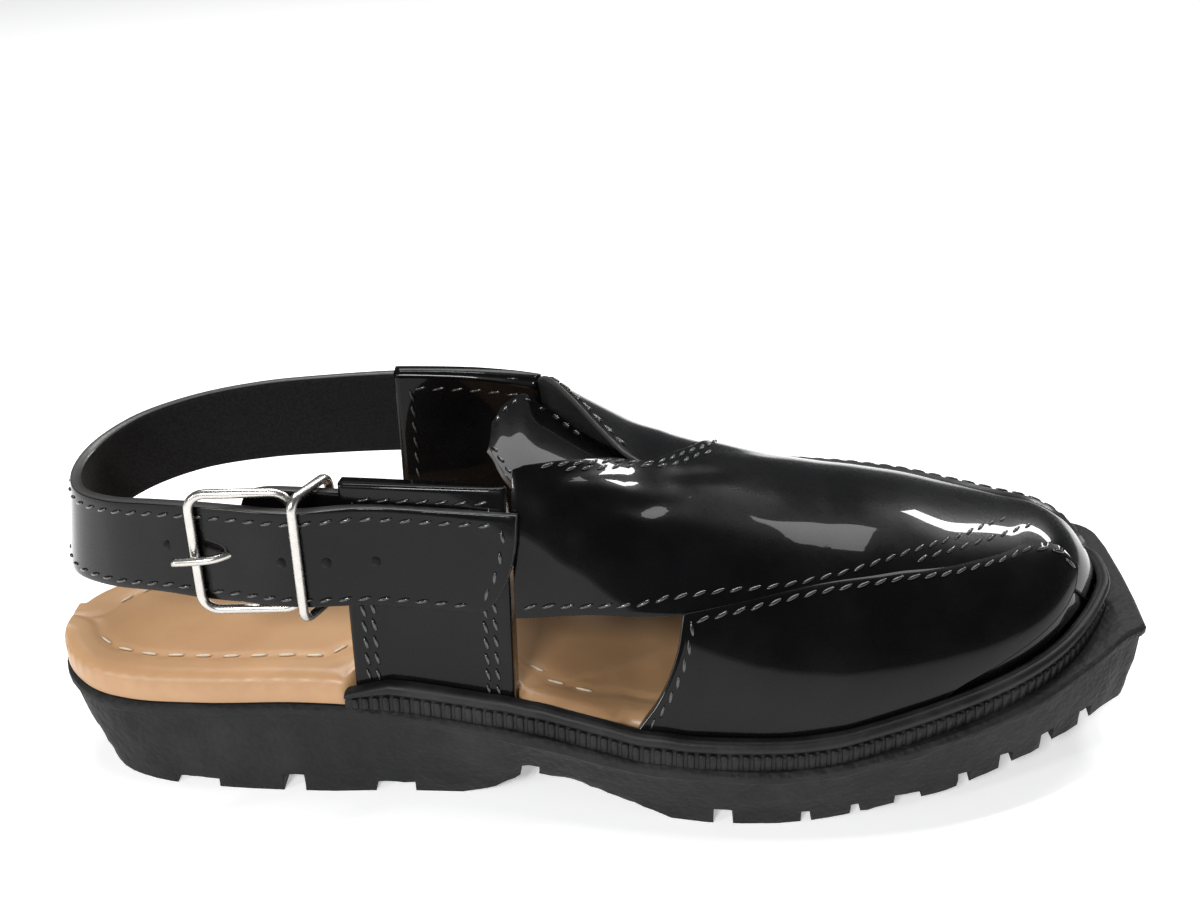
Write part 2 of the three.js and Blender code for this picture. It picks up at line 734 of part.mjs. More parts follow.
// Straps, panels and tabs in one; `pockets` are cut in the tabs for the ends of other straps.
function buildUpper(pockets) {
  const innerStrap = formBody(-panelStep - crossStep, 3);
  const crossing = formBody(-panelStep, 4).intersect(planPrism(crossPlan, -far, far));
  const panels = formBody(0, 5);
  const outerSide = panels.intersect(sidePrism(outerPanel, -far, outerPanelReach * halfWidth));
  const innerSide = panels.intersect(sidePrism(innerPanel, innerPanelReach * halfWidth, far));
  const behind = (side, start) => sideSlab(side, -far, start * soleLength + tabWidth - 1, far);
  let upper = innerStrap.add(crossing).add(outerSide).add(innerSide);
  upper = upper.subtract(formBody(-upperWall, 8));
  upper = upper.subtract(planPrism(throatPlan, -far, far));
  upper = upper.subtract(sidePrism(outerOpening, -far, -0.2 * halfWidth));
  upper = upper.subtract(sidePrism(innerOpening, 0.2 * halfWidth, far));
  upper = upper.subtract(behind(-1, outerTabStart)).subtract(behind(1, innerTabStart));
  upper = upper.add(buildTab(-1, outerTabStart, outerTabRise));
  upper = upper.add(buildTab(1, innerTabStart, innerTabRise));
  for (const pocket of pockets) upper = upper.subtract(pocket);
  return geometryOf(upper.subtract(underSeat()));
}

// The welt follows the form's foot from the outer tab round the toe to the inner tab.
function footCurve() {
  const rows = formTable.filter((row) => row.at >= 0.28);
  const outer = rows.map((row) => new THREE.Vector3(row.at * soleLength, -row.outer * halfWidth, 0));
  const inner = rows.map((row) => new THREE.Vector3(row.at * soleLength, row.inner * halfWidth, 0));
  return new THREE.CatmullRomCurve3([...outer, ...inner.reverse()], false, 'centripetal');
}

function buildWelt() {
  const curve = footCurve();
  const ribs = Math.round(curve.getLength() / ribPitch);
  const steps = ribs * 2;
  curve.arcLengthDivisions = steps * 4;
  const rings = [];
  for (let step = 0; step <= steps; step += 1) {
    const share = step / steps;
    const point = curve.getPointAt(share);
    const tangent = curve.getTangentAt(share);
    const outward = new THREE.Vector3(tangent.y, -tangent.x, 0).normalize();
    const fade = Math.min(1, Math.min(step, steps - step) / 6);
    const growth = 0.55 + 0.45 * fade;
    const height = (ribHeight + beadHeight) * growth;
    const notch = step % 2 === 0 ? ribDepth : 0;
    const width = weltWidth * (0.7 + 0.3 * fade);
    const beadLine = height - beadHeight * growth;
    const section = [
      [0, 0],
      [width - notch, 0],
      [width - notch, beadLine],
      [width - beadInset, beadLine + beadInset],
      [width - beadInset, height * 0.82],
      [width * 0.4, height],
    ];
    rings.push(section.map(([out, up]) => {
      const place = point.clone().addScaledVector(outward, clearance + out);
      place.z = seatHeight(place.x) + clearance + up;
      return place;
    }));
  }
  return loft(rings);
}

function buildInsole() {
  const level = (inset, share) => outline.map((station) => {
    const point = station.point.clone().addScaledVector(station.outward, -insoleInset - inset);
    point.z = seatHeight(point.x) + clearance + share * insoleThickness;
    return point;
  });
  const board = solidOf(loft([
    level(1.2, 0),
    level(0, 0.3),
    level(0, 0.7),
    level(1, 0.93),
    level(insoleRoll, 1),
  ]));
  const toeZone = planPrism([
    { at: outerPanel[0].at - clearance / soleLength, across: -2 },
    { at: 1.2, across: -2 },
    { at: 1.2, across: 2 },
    { at: innerPanel[0].at - clearance / soleLength, across: 2 },
  ], -far, far);
  const weltZone = planPrism([
    { at: 0.27, across: -2 },
    { at: 1.2, across: -2 },
    { at: 1.2, across: 2 },
    { at: 0.27, across: 2 },
  ], -far, far);
  let insole = board.subtract(toeZone.subtract(formBody(-upperWall - clearance, 20)));
  insole = insole.subtract(aroundTabs());
  insole = insole.subtract(weltZone.subtract(formBody(-clearance, 20)));
  return geometryOf(insole);
}

// The tongue is a sheet bent down at both edges, thick enough to sew.
function buildTongue() {
  const columns = {};
  for (const name of ['outer', 'inner', 'outerUp', 'middleUp', 'innerUp']) {
    columns[name] = column(tongueTable, name);
  }
  const first = tongueTable[0].at;
  const last = tongueTable[tongueTable.length - 1].at;
  const rings = [];
  for (let row = 0; row <= tongueStations; row += 1) {
    const at = first + ((last - first) * Math.pow(row / tongueStations, 1.3));
    const upper = [];
    for (let step = 0; step <= tongueAcross; step += 1) {
      const share = step / tongueAcross;
      const across = THREE.MathUtils.lerp(columns.outer(at), columns.inner(at), share);
      const chord = THREE.MathUtils.lerp(columns.outerUp(at), columns.innerUp(at), share);
      const bow = columns.middleUp(at) - (columns.outerUp(at) + columns.innerUp(at)) / 2;
      const up = chord + bow * (1 - Math.pow(2 * share - 1, 2));
      upper.push(new THREE.Vector3(at * soleLength, across * halfWidth, up * instepRise));
    }
    const lower = upper.map((point) => new THREE.Vector3(point.x, point.y, point.z - tongueThickness));
    rings.push([...upper, ...lower.reverse()]);
  }
  const room = formBody(-upperWall - clearance, 20).subtract(aroundTabs());
  return geometryOf(solidOf(loft(rings)).intersect(room));
}

// Where the middle of a band's thickness lies for one row, `drop` of its width under the top edge.
function bandPlace(row, width, drop) {
  const along = (row.at - row.lean * drop) * soleLength;
  const height = row.top * instepRise - row.width * width * drop;
  const across = row.side
    ? formSide(along, height, row.side) + row.side * row.away
    : row.across * halfWidth;
  return new THREE.Vector3(along, across, height);
}

// A band of leather through the rows of a table, grown all round by a gap.
function band(table, width, thickness, steps, grow) {
  const curves = [0, 0.5, 1].map((drop) => new THREE.CatmullRomCurve3(
    table.map((row) => bandPlace(row, width, drop)),
    false,
    'centripetal',
  ));
  const rings = [];
  for (let step = 0; step <= steps; step += 1) {
    const place = step / steps;
    const [top, middle, low] = curves.map((curve) => curve.getPoint(place));
    const up = new THREE.Vector3().subVectors(top, low).normalize();
    const ahead = curves[1].getTangent(place);
    const outward = new THREE.Vector3().crossVectors(ahead, up).normalize();
    const half = thickness / 2 + grow;
    if (step === 0 || step === steps) {
      const lengthen = step === 0 ? -grow : grow;
      [top, middle, low].forEach((point) => point.addScaledVector(ahead, lengthen));
    }
    top.addScaledVector(up, grow);
    low.addScaledVector(up, -grow);
    const outer = [top, middle, low].map((point) => point.clone().addScaledVector(outward, half));
    const inner = [low, middle, top].map((point) => point.clone().addScaledVector(outward, -half));
    rings.push([...outer, ...inner]);
  }
  return solidOf(loft(rings));
}

// A plan place of the buckle at a height.
function buckleSpot(spot, height) {
  return new THREE.Vector3(spot.at * soleLength, spot.across * halfWidth, height);
}

// Round wire through points of one plane with the given normal.
function wire(points, normal, radius, closed) {
  const count = points.length;
  const rings = points.map((point, index) => {
    const after = closed || index < count - 1 ? points[(index + 1) % count] : point;
    const before = closed || index > 0 ? points[(index + count - 1) % count] : point;
    const leaving = new THREE.Vector3().subVectors(after, point).normalize();
    const arriving = new THREE.Vector3().subVectors(point, before).normalize();
    const ahead = leaving.add(arriving).normalize();
    const aside = new THREE.Vector3().crossVectors(ahead, normal).normalize();
    const ring = [];
    for (let side = 0; side < wireSides; side += 1) {
      const angle = (2 * Math.PI * side) / wireSides;
      ring.push(point.clone()
        .addScaledVector(aside, Math.cos(angle) * radius)
        .addScaledVector(normal, Math.sin(angle) * radius));
    }
    return ring;
  });
  return solidOf(loft(rings, closed));
}

// Upright loop of wire between two bars, `height` tall over all.
function wireLoop(rear, front, height, corner) {
  const alongward = new THREE.Vector3().subVectors(front, rear);
  const reach = alongward.length() / 2 - corner;
  const climb = height / 2 - wireRadius - corner;
  alongward.normalize();
  const centre = new THREE.Vector3().addVectors(rear, front).multiplyScalar(0.5);
  const points = [];
  const corners = [[1, 1], [-1, 1], [-1, -1], [1, -1]];
  const cornerSteps = 3;
  corners.forEach(([ahead, up], quarter) => {
    for (let step = 0; step <= cornerSteps; step += 1) {
      const angle = (Math.PI / 2) * (quarter + step / cornerSteps);
      const point = centre.clone();
      point.addScaledVector(alongward, ahead * reach + corner * Math.cos(angle));
      point.z += up * climb + corner * Math.sin(angle);
      points.push(point);
    }
  });
  const normal = new THREE.Vector3(alongward.y, -alongward.x, 0);
  return wire(points, normal, wireRadius, true);
}

// Upright cylinder about the pivot bar.
function aboutPivot(radius, height) {
  const centre = buckleSpot(pivotBar, strapHoleHeight * instepRise);
  const geometry = new THREE.CylinderGeometry(radius, radius, height, 16);
  geometry.rotateX(Math.PI / 2);
  geometry.translate(centre.x, centre.y, centre.z);
  return solidOf(geometry);
}

const eyeRadius = wireRadius + clearance + eyeWall;

// Middle of the rest bar, which lies on the outer face of the strap.
function restSpot() {
  const spot = buckleSpot(pivotBar, strapHoleHeight * instepRise);
  spot.x -= frameLength - 2 * wireRadius;
  const rear = strapTable.findIndex((row) => row.across === 0);
  const front = strapTable.findIndex((row) => row.side === -1);
  const across = column(strapTable.slice(rear, front), 'across');
  const at = spot.x / soleLength;
  const slope = ((across(at + 0.01) - across(at - 0.01)) * halfWidth) / (0.02 * soleLength);
  const away = strapThickness / 2 + wireRadius + clearance;
  spot.y = across(at) * halfWidth - away * Math.hypot(1, slope);
  return spot;
}

function buildFrame() {
  const pivot = buckleSpot(pivotBar, strapHoleHeight * instepRise);
  return geometryOf(wireLoop(restSpot(), pivot, frameHeight, frameCorner));
}

function buildKeeper() {
  const height = keeperHeightAt * instepRise;
  const outer = buckleSpot(keeperOuterBar, height);
  const inner = buckleSpot(keeperInnerBar, height);
  return geometryOf(wireLoop(outer, inner, keeperHeight, keeperCorner));
}

// The prong, grown by a gap where it serves as a cutter.
function prongSolid(grow) {
  const points = prongPath.map((spot) => buckleSpot(spot, strapHoleHeight * instepRise));
  const rest = restSpot();
  for (const { ahead, over, down } of prongOverBar) {
    const away = wireRadius + prongRadius + over;
    points.push(new THREE.Vector3(rest.x + ahead, rest.y - away, rest.z - down));
  }
  return wire(points, new THREE.Vector3(0, 0, 1), prongRadius + grow, false);
}

function buildProng() {
  const eye = aboutPivot(eyeRadius, eyeWidth).subtract(aboutPivot(wireRadius + clearance, frameHeight));
  return geometryOf(eye.add(prongSolid(0)));
}

function chapeBand(grow) {
  return band(chapeTable, chapeWidth, chapeThickness, chapeSteps, grow);
}

// The short strap folded round the pivot bar, slotted for the prong's eye.
function buildChape() {
  let chape = chapeBand(0).add(aboutPivot(wireRadius + clearance + chapeLoopWall, chapeLoopHeight));
  chape = chape.subtract(aboutPivot(wireRadius + clearance, 2 * frameHeight));
  return geometryOf(chape.subtract(aboutPivot(eyeRadius + clearance, eyeWidth + 2 * clearance)));
}

function strapBand(grow) {
  return band(strapTable, strapWidth, strapThickness, strapSteps, grow);
}

function buildHeelStrap() {
  let strap = strapBand(0);
  for (const at of strapHoles) {
    const drill = new THREE.CylinderGeometry(strapHoleRadius, strapHoleRadius, soleWidth, 12);
    drill.translate(at * soleLength, -halfWidth, strapHoleHeight * instepRise);
    strap = strap.subtract(solidOf(drill));
  }
  strap = strap.subtract(prongSolid(clearance));
  const endCut = sidePrism([
    { at: 0.437, up: 1.6 },
    { at: 0.437, up: 1.44 },
    { at: 0.432, up: 1.28 },
    { at: 0.42, up: 1.14 },
    { at: 0.4, up: 1 },
    { at: 0.5, up: 1 },
    { at: 0.5, up: 1.6 },
  ], -far, 0);
  return geometryOf(strap.subtract(endCut));
}

const group = new THREE.Group();
group.position.set(-soleLength / 2, 0, 0);

function add(name, geometry, color, roughness, metalness) {
  const mesh = new THREE.Mesh(geometry, new THREE.MeshStandardMaterial({ color, roughness, metalness }));
  mesh.name = name;
  group.add(mesh);
}

add('outsole', buildOutsole(), 0x1b1b1c, 0.8, 0);
add('welt', buildWelt(), 0x161617, 0.6, 0);
add('insole', buildInsole(), 0xc99762, 0.45, 0);
const strapPocket = strapBand(clearance).intersect(sideSlab(1, 0, far, far));
add('upper', buildUpper([strapPocket, chapeBand(clearance)]), 0x050506, 0.08, 0);
add('tongue', buildTongue(), 0x050506, 0.1, 0);
add('heel_strap', buildHeelStrap(), 0x050506, 0.1, 0);
add('buckle_chape', buildChape(), 0x070708, 0.15, 0);
add('buckle_frame', buildFrame(), 0xb9bbbd, 0.25, 1);
add('buckle_prong', buildProng(), 0xb9bbbd, 0.25, 1);
add('keeper_loop', buildKeeper(), 0xb9bbbd, 0.25, 1);

export default group;
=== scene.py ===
"""The looks of a right-foot peshawari chappal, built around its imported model.

Lengths are millimetres in the shoe's own coordinates (x from the heel to the toe, -y the outer
side, z up from the floor) until a mesh is written, which is in metres in the model's frame.
"""

import logging
import math
from dataclasses import dataclass, field
from enum import Enum
from typing import Callable, Iterable, Optional, Sequence, Union

import bmesh
import bpy
import numpy as np
from mathutils import Matrix, Vector, noise


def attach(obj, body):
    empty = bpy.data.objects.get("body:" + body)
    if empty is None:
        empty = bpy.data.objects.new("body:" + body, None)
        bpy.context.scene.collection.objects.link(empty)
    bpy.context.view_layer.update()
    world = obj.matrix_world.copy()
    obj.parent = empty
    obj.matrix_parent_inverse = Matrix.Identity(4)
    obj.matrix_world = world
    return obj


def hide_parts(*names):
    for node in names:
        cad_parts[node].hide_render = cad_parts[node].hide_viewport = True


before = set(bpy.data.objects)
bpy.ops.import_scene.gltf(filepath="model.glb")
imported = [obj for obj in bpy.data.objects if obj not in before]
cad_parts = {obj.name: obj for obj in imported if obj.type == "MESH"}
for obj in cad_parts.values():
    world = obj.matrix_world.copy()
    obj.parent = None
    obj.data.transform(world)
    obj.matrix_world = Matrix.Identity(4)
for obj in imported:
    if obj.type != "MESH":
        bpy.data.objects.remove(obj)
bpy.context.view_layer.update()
LOG = logging.getLogger("chappal")

SOLE_LENGTH = 300.0
HALF_WIDTH = 52.0
HEEL_HEIGHT = 27.0
ARCH_RISE = 9.0
TOE_SPRING = 13.0
INSTEP_RISE = 58.0
FOOT_WALL = 6.0
CLEARANCE = 0.3

SOLE_ROWS = (
    # at, spring, arch, body
    (0, 0.12, 0, 0.98), (0.06, 0, 0, 0.95), (0.147, 0, 0, 0.985), (0.237, 0, 0, 1.05),
    (0.3, 0, 0, 1.07), (0.37, 0, 0, 1.02), (0.4, 0, 0.12, 0.95), (0.423, 0, 0.8, 0.71),
    (0.445, 0, 1, 0.61), (0.477, 0, 0.86, 0.6), (0.527, 0, 0.44, 0.64), (0.553, 0, 0, 0.77),
    (0.577, 0, 0, 0.745), (0.653, 0, 0, 0.725), (0.7, 0.08, 0, 0.725), (0.74, 0.22, 0, 0.735),
    (0.807, 0.4, 0, 0.765), (0.88, 0.69, 0, 0.745), (0.933, 0.88, 0, 0.78), (0.96, 0.95, 0, 0.85),
    (0.973, 0.97, 0, 0.885), (1, 1, 0, 0.87),
)
SOLE_OUTLINE = (
    # at, across: once round from the heel along the outer side to the toe and back
    (0, -0.03), (0.008, -0.27), (0.035, -0.45), (0.08, -0.56), (0.147, -0.62), (0.237, -0.665),
    (0.32, -0.73), (0.423, -0.83), (0.527, -0.945), (0.64, -1), (0.74, -0.945), (0.807, -0.845),
    (0.88, -0.655), (0.93, -0.46), (0.972, -0.28), (0.996, -0.17), (0.9985, -0.09), (0.999, 0.1),
    (1, 0.36), (0.999, 0.66), (0.993, 0.85), (0.965, 0.96), (0.9, 0.99), (0.82, 1), (0.72, 0.975),
    (0.62, 0.905), (0.52, 0.835), (0.4, 0.785), (0.27, 0.755), (0.13, 0.66), (0.05, 0.5),
    (0.012, 0.25),
)
TOE_ROW = 18
FORM_ROWS = (
    # at, outer, inner, ridge, rise, fullness, leanOut, leanIn
    (0.2, 0.61, 0.65, 0.04, 1.5, 5.4, 0.06, -0.06),
    (0.28, 0.64, 0.68, 0.04, 1.47, 5.2, 0.06, -0.06),
    (0.367, 0.695, 0.7, 0.04, 1.38, 4.7, 0.05, -0.05),
    (0.433, 0.756, 0.715, 0.05, 1.26, 4, 0.02, -0.03),
    (0.5, 0.833, 0.74, 0.06, 1.12, 3.5, 0, 0),
    (0.55, 0.89, 0.77, 0.1, 1.03, 3, 0, 0),
    (0.583, 0.91, 0.785, 0.115, 0.99, 2.7, 0, 0),
    (0.633, 0.915, 0.84, 0.125, 0.919, 2.5, 0, 0),
    (0.707, 0.888, 0.895, 0.135, 0.81, 2.4, 0, 0),
    (0.773, 0.798, 0.9, 0.155, 0.695, 2.3, 0, 0),
    (0.833, 0.663, 0.85, 0.183, 0.569, 2.3, 0, 0),
    (0.873, 0.535, 0.76, 0.202, 0.491, 2.3, 0, 0),
    (0.907, 0.381, 0.64, 0.215, 0.422, 2.4, 0, 0),
    (0.933, 0.208, 0.5, 0.215, 0.325, 2.4, 0, 0),
    (0.95, 0.06, 0.4, 0.21, 0.2, 2.4, 0, 0),
    (0.96, -0.07, 0.32, 0.2, 0.09, 2.4, 0, 0),
)

# the third finish, on the cut edges, carries a painted highlight
SHEET_FINISHES = ("patent_leather", "felt_lining", "leather_edge_painted_highlight")
FELT_FACE, CUT_RIM = 1, 2
STRAP_WIDTH, STRAP_THICKNESS = 27.0, 2.8
CHAPE_WIDTH, CHAPE_THICKNESS = 30.0, 2.4
BUCKLE_MIDDLE = 1.267 * INSTEP_RISE

Number = Union[float, "Value"]


def metres(point: Sequence[float]) -> Vector:
    """Turns a point in shoe millimetres into metres in the model's frame.

    Args:
        point: x from the heel, y and z.

    Returns:
        The point in metres.
    """
    return Vector(((point[0] - SOLE_LENGTH / 2) / 1000, point[1] / 1000, point[2] / 1000))


def unit(vector: np.ndarray) -> np.ndarray:
    """Gives a vector of length one, or the same vector if it has no length.

    Args:
        vector: any vector.

    Returns:
        The vector at length one.
    """
    length = float(np.linalg.norm(vector))
    return vector / length if length > 1e-9 else vector


def reach_along(line: np.ndarray) -> np.ndarray:
    """Measures a line of points.

    Args:
        line: its points, one in each row.

    Returns:
        The length run through up to each point.
    """
    return np.concatenate([[0], np.cumsum(np.linalg.norm(np.diff(line, axis=0), axis=1))])


def at_reach(wanted: float, reach: np.ndarray, line: np.ndarray) -> np.ndarray:
    """Finds the point of a line at a length.

    Args:
        wanted: the length along the line.
        reach: the length at each of its points.
        line: its points, one in each row.

    Returns:
        The point.
    """
    return np.array([np.interp(wanted, reach, line[:, axis]) for axis in range(line.shape[1])])


class Column:
    """Monotone cubic through pairs of place and value."""

    def __init__(self, pairs: Iterable[tuple[float, float]]) -> None:
        """Keeps the pairs and works out a tangent at each.

        Args:
            pairs: places in rising order, each with its value.
        """
        rows = list(pairs)
        self.at = np.array([row[0] for row in rows], float)
        self.value = np.array([row[1] for row in rows], float)
        slopes = np.diff(self.value) / np.diff(self.at)
        inner = [
            0.0 if before * after <= 0 else 2 * before * after / (before + after)
            for before, after in zip(slopes[:-1], slopes[1:])
        ]
        self.tangent = np.array([slopes[0], *inner, slopes[-1]])

    def __call__(self, place: float) -> float:
        """Gives the value at a place, held at both ends.

        Args:
            place: the place.

        Returns:
            The value.
        """
        wanted = min(max(place, self.at[0]), self.at[-1])
        row = int(min(max(np.searchsorted(self.at, wanted, side="right") - 1, 0), len(self.at) - 2))
        span = self.at[row + 1] - self.at[row]
        t = (wanted - self.at[row]) / span
        rise = self.value[row + 1] - self.value[row]
        start = self.tangent[row] * span
        end = self.tangent[row + 1] * span
        return float(
            self.value[row] + t * start + t * t * (3 * rise - 2 * start - end)
            + t * t * t * (start + end - 2 * rise)
        )


def columns(rows: Sequence[Sequence[float]]) -> list[Column]:
    """Makes one column of each value that stands after the place in the rows.

    Args:
        rows: rows of a place and its values.

    Returns:
        The columns in the values' order.
    """
    return [Column((row[0], row[index]) for row in rows) for index in range(1, len(rows[0]))]


class Spline:
    """Centripetal Catmull-Rom curve through points."""

    def __init__(self, points: Iterable[Sequence[float]], closed: bool = False) -> None:
        """Keeps the points.

        Args:
            points: the points the curve runs through.
            closed: whether the curve runs back to its first point.
        """
        self.points = [np.array(point, float) for point in points]
        self.closed = closed

    def _corner(self, index: int) -> np.ndarray:
        """Gives a point by number, wrapped on a closed curve and mirrored past an open end.

        Args:
            index: the point's number.

        Returns:
            The point.
        """
        count = len(self.points)
        if self.closed:
            return self.points[index % count]
        if index < 0:
            return 2 * self.points[0] - self.points[1]
        if index >= count:
            return 2 * self.points[-1] - self.points[-2]
        return self.points[index]

    def __call__(self, place: float) -> np.ndarray:
        """Gives the point at a place from 0 to 1.

        Args:
            place: share of the points passed.

        Returns:
            The point.
        """
        turns = len(self.points) - (0 if self.closed else 1)
        whole = min(max(place, 0.0), 1.0) * turns
        index = min(int(whole), turns - 1)
        weight = whole - index
        before, start, end, after = (self._corner(index + step) for step in (-1, 0, 1, 2))
        gap = max(float(np.linalg.norm(end - start)) ** 0.5, 1e-4)
        gap_before = max(float(np.linalg.norm(start - before)) ** 0.5, 1e-4)
        gap_after = max(float(np.linalg.norm(after - end)) ** 0.5, 1e-4)
        run = (end - start) / gap
        leave = (start - before) / gap_before - (end - before) / (gap_before + gap) + run
        arrive = run - (after - start) / (gap + gap_after) + (after - end) / gap_after
        leave, arrive = leave * gap, arrive * gap
        return (
            start + leave * weight
            + (3 * (end - start) - 2 * leave - arrive) * weight ** 2
            + (2 * (start - end) + leave + arrive) * weight ** 3
        )


class Sole:
    """Heights and plan of the sole."""

    SIDE_STEPS = 600
    HEIGHT_STEPS = 1200

    def __init__(self) -> None:
        """Reads the sole's tables."""
        spring, arch, body = columns(SOLE_ROWS)
        plan = [(at * SOLE_LENGTH, across * HALF_WIDTH) for at, across in SOLE_OUTLINE]
        curve = Spline(plan, True)
        toe = TOE_ROW / len(SOLE_OUTLINE)
        steps = range(self.SIDE_STEPS + 1)
        self.sides = {
            -1: np.array([curve(toe * step / self.SIDE_STEPS) for step in steps]),
            1: np.array([curve(1 - (1 - toe) * step / self.SIDE_STEPS) for step in steps]),
        }
        for side in self.sides.values():
            side[:, 0] = np.maximum.accumulate(side[:, 0])
        self.places = np.linspace(0, SOLE_LENGTH, self.HEIGHT_STEPS + 1)
        shares = self.places / SOLE_LENGTH
        treads = np.array([spring(at) * TOE_SPRING + arch(at) * ARCH_RISE for at in shares])
        self.seats = treads + np.array([body(at) * HEEL_HEIGHT for at in shares])

    def seat(self, along: float) -> float:
        """Gives the height of the outsole's top at a place along the shoe.

        Args:
            along: place along the shoe in millimetres.

        Returns:
            The height.
        """
        return float(np.interp(along, self.places, self.seats))

    def edge(self, along: float, side: int) -> float:
        """Gives the outsole's edge on the outer (-1) or inner (+1) side.

        Args:
            along: place along the shoe in millimetres.
            side: -1 for the outer side, +1 for the inner one.

        Returns:
            The place across the shoe.
        """
        curve = self.sides[side]
        return float(np.interp(along, curve[:, 0], curve[:, 1]))


class Last:
    """The form over the foot, as a surface over place along the shoe and share of its girth."""

    FIRST = 60.0
    END = 288.0
    STEP = 1.0
    SHARES = 200
    FRONT = 1.6

    def __init__(self, sole: Sole) -> None:
        """Works out the form's sections.

        Args:
            sole: the sole that the form stands on.
        """
        self.sole = sole
        self.columns = columns(FORM_ROWS)
        self.shares = np.linspace(0, 1, self.SHARES + 1)
        stations = np.arange(self.FIRST, self.END + 0.01, self.STEP)
        self.sections = np.array([self._section(along) for along in stations])
        self.toe_foot = sole.seat(self.END) + 1

    def _section(self, along: float) -> np.ndarray:
        """Gives evenly spaced points from the outer seat over the ridge to the inner seat.

        Args:
            along: place along the shoe in millimetres.

        Returns:
            The points (y, z), one in each row.
        """
        outer, inner, ridge, rise, fullness, lean_out, lean_in = (
            column(along / SOLE_LENGTH) for column in self.columns
        )
        seat = self.sole.seat(along)
        spread_of = np.linspace(0, 1, 80)
        angles = (math.pi / 2) * spread_of ** 3 / (spread_of ** 3 + (1 - spread_of) ** 3)
        spread = np.cos(angles) ** (2 / fullness)
        climb = np.sin(angles) ** (2 / fullness)
        heights = seat + FOOT_WALL + rise * INSTEP_RISE * climb
        halves = []
        for edge, lean, side in ((-outer, lean_out, -1), (inner, lean_in, 1)):
            across = ridge + (edge - ridge) * spread - side * lean * climb * spread
            halves.append(np.stack([across * HALF_WIDTH, heights], 1))
        feet = [np.array([[half[0, 0], seat]]) for half in halves]
        line = np.concatenate([feet[0], halves[0], halves[1][::-1][1:], feet[1]])
        reach = reach_along(line)
        wanted = self.shares * reach[-1]
        return np.stack([np.interp(wanted, reach, line[:, axis]) for axis in (0, 1)], 1)

    def _row(self, along: float) -> np.ndarray:
        """Gives the section at any place, mixed from its neighbours.

        Args:
            along: place along the shoe in millimetres.

        Returns:
            Its points (y, z).
        """
        place = min(max((along - self.FIRST) / self.STEP, 0), len(self.sections) - 1.001)
        index = int(place)
        low, high = self.sections[index], self.sections[index + 1]
        return low + (high - low) * (place - index)

    def base(self, along: float, share: float) -> np.ndarray:
        """Gives the point of the form itself; past its end it turns down in front of the toe.

        Args:
            along: place along the shoe in millimetres.
            share: share of the girth, from the outer seat to the inner one.

        Returns:
            The point.
        """
        row = self._row(along)
        place = min(max(share, 0), 1) * self.SHARES
        index = min(int(place), self.SHARES - 1)
        across, height = row[index] + (row[index + 1] - row[index]) * (place - index)
        past = max(0.0, along - self.END)
        drop = min(1.0, past / self.FRONT) ** 2
        lowered = height + (self.toe_foot - height) * drop
        return np.array([min(along, self.END) + 0.6 * past, across, lowered])

    def normal(self, along: float, share: float) -> np.ndarray:
        """Gives the outward direction of the form.

        Args:
            along: place along the shoe in millimetres.
            share: share of the girth, from the outer seat to the inner one.

        Returns:
            The direction, one long.
        """
        low, high = max(share - 0.006, 0), min(share + 0.006, 1)
        ahead = self.base(along + 0.7, share) - self.base(along - 0.7, share)
        across = self.base(along, high) - self.base(along, low)
        return unit(np.cross(ahead, across))

    def point(self, along: float, share: float, offset: float) -> np.ndarray:
        """Gives a point at an offset from the form.

        Args:
            along: place along the shoe in millimetres.
            share: share of the girth, from the outer seat to the inner one.
            offset: distance outwards in millimetres.

        Returns:
            The point.
        """
        return self.base(along, share) + self.normal(along, share) * offset

    def share_at_height(self, along: float, height: float, side: int) -> float:
        """Finds the girth share of a height on the outer (-1) or inner (+1) side.

        Args:
            along: place along the shoe in millimetres.
            height: height over the floor.
            side: -1 for the outer side, +1 for the inner one.

        Returns:
            The share, held at seat and ridge.
        """
        row = self._row(along)
        top = int(np.argmax(row[:, 1]))
        if side < 0:
            return float(np.interp(height, row[: top + 1, 1], self.shares[: top + 1]))
        return float(np.interp(height, row[top:, 1][::-1], self.shares[top:][::-1]))

    def share_at_across(self, along: float, across: float) -> float:
        """Finds the girth share over a place across the shoe.

        Args:
            along: place along the shoe in millimetres.
            across: place across the shoe.

        Returns:
            The share.
        """
        row = np.maximum.accumulate(self._row(along)[:, 0])
        return float(np.interp(across, row, self.shares))


class Value:
    """A shader socket that takes part in Python arithmetic."""

    def __init__(self, shader: "Shader", socket: bpy.types.NodeSocket) -> None:
        """Wraps a socket of a shader.

        Args:
            shader: the shader.
            socket: its output socket.
        """
        self.shader = shader
        self.socket = socket

    def _math(self, operation: str, first: Number, second: Number) -> "Value":
        """Adds a Math node and gives its result.

        Args:
            operation: the node's operation.
            first: its first input.
            second: its second input.

        Returns:
            The result.
        """
        node = self.shader.node("ShaderNodeMath", {"operation": operation}, {0: first, 1: second})
        return Value(self.shader, node.outputs[0])

    def __radd__(self, other: Number) -> "Value":
        """Adds a number in front.

        Args:
            other: the number.

        Returns:
            The sum.
        """
        return self._math("ADD", self, other)

    def __mul__(self, other: Number) -> "Value":
        """Multiplies.

        Args:
            other: the factor.

        Returns:
            The product.
        """
        return self._math("MULTIPLY", self, other)

    def clamped(self, low: float, high: float) -> "Value":
        """Stretches the range between two levels to 0 to 1 and holds it there.

        Args:
            low: the level that gives 0.
            high: the level that gives 1.

        Returns:
            The stretched value.
        """
        node = self.shader.node(
            "ShaderNodeMapRange", {"clamp": True}, {0: self, 1: low, 2: high, 3: 0.0, 4: 1.0}
        )
        return Value(self.shader, node.outputs[0])


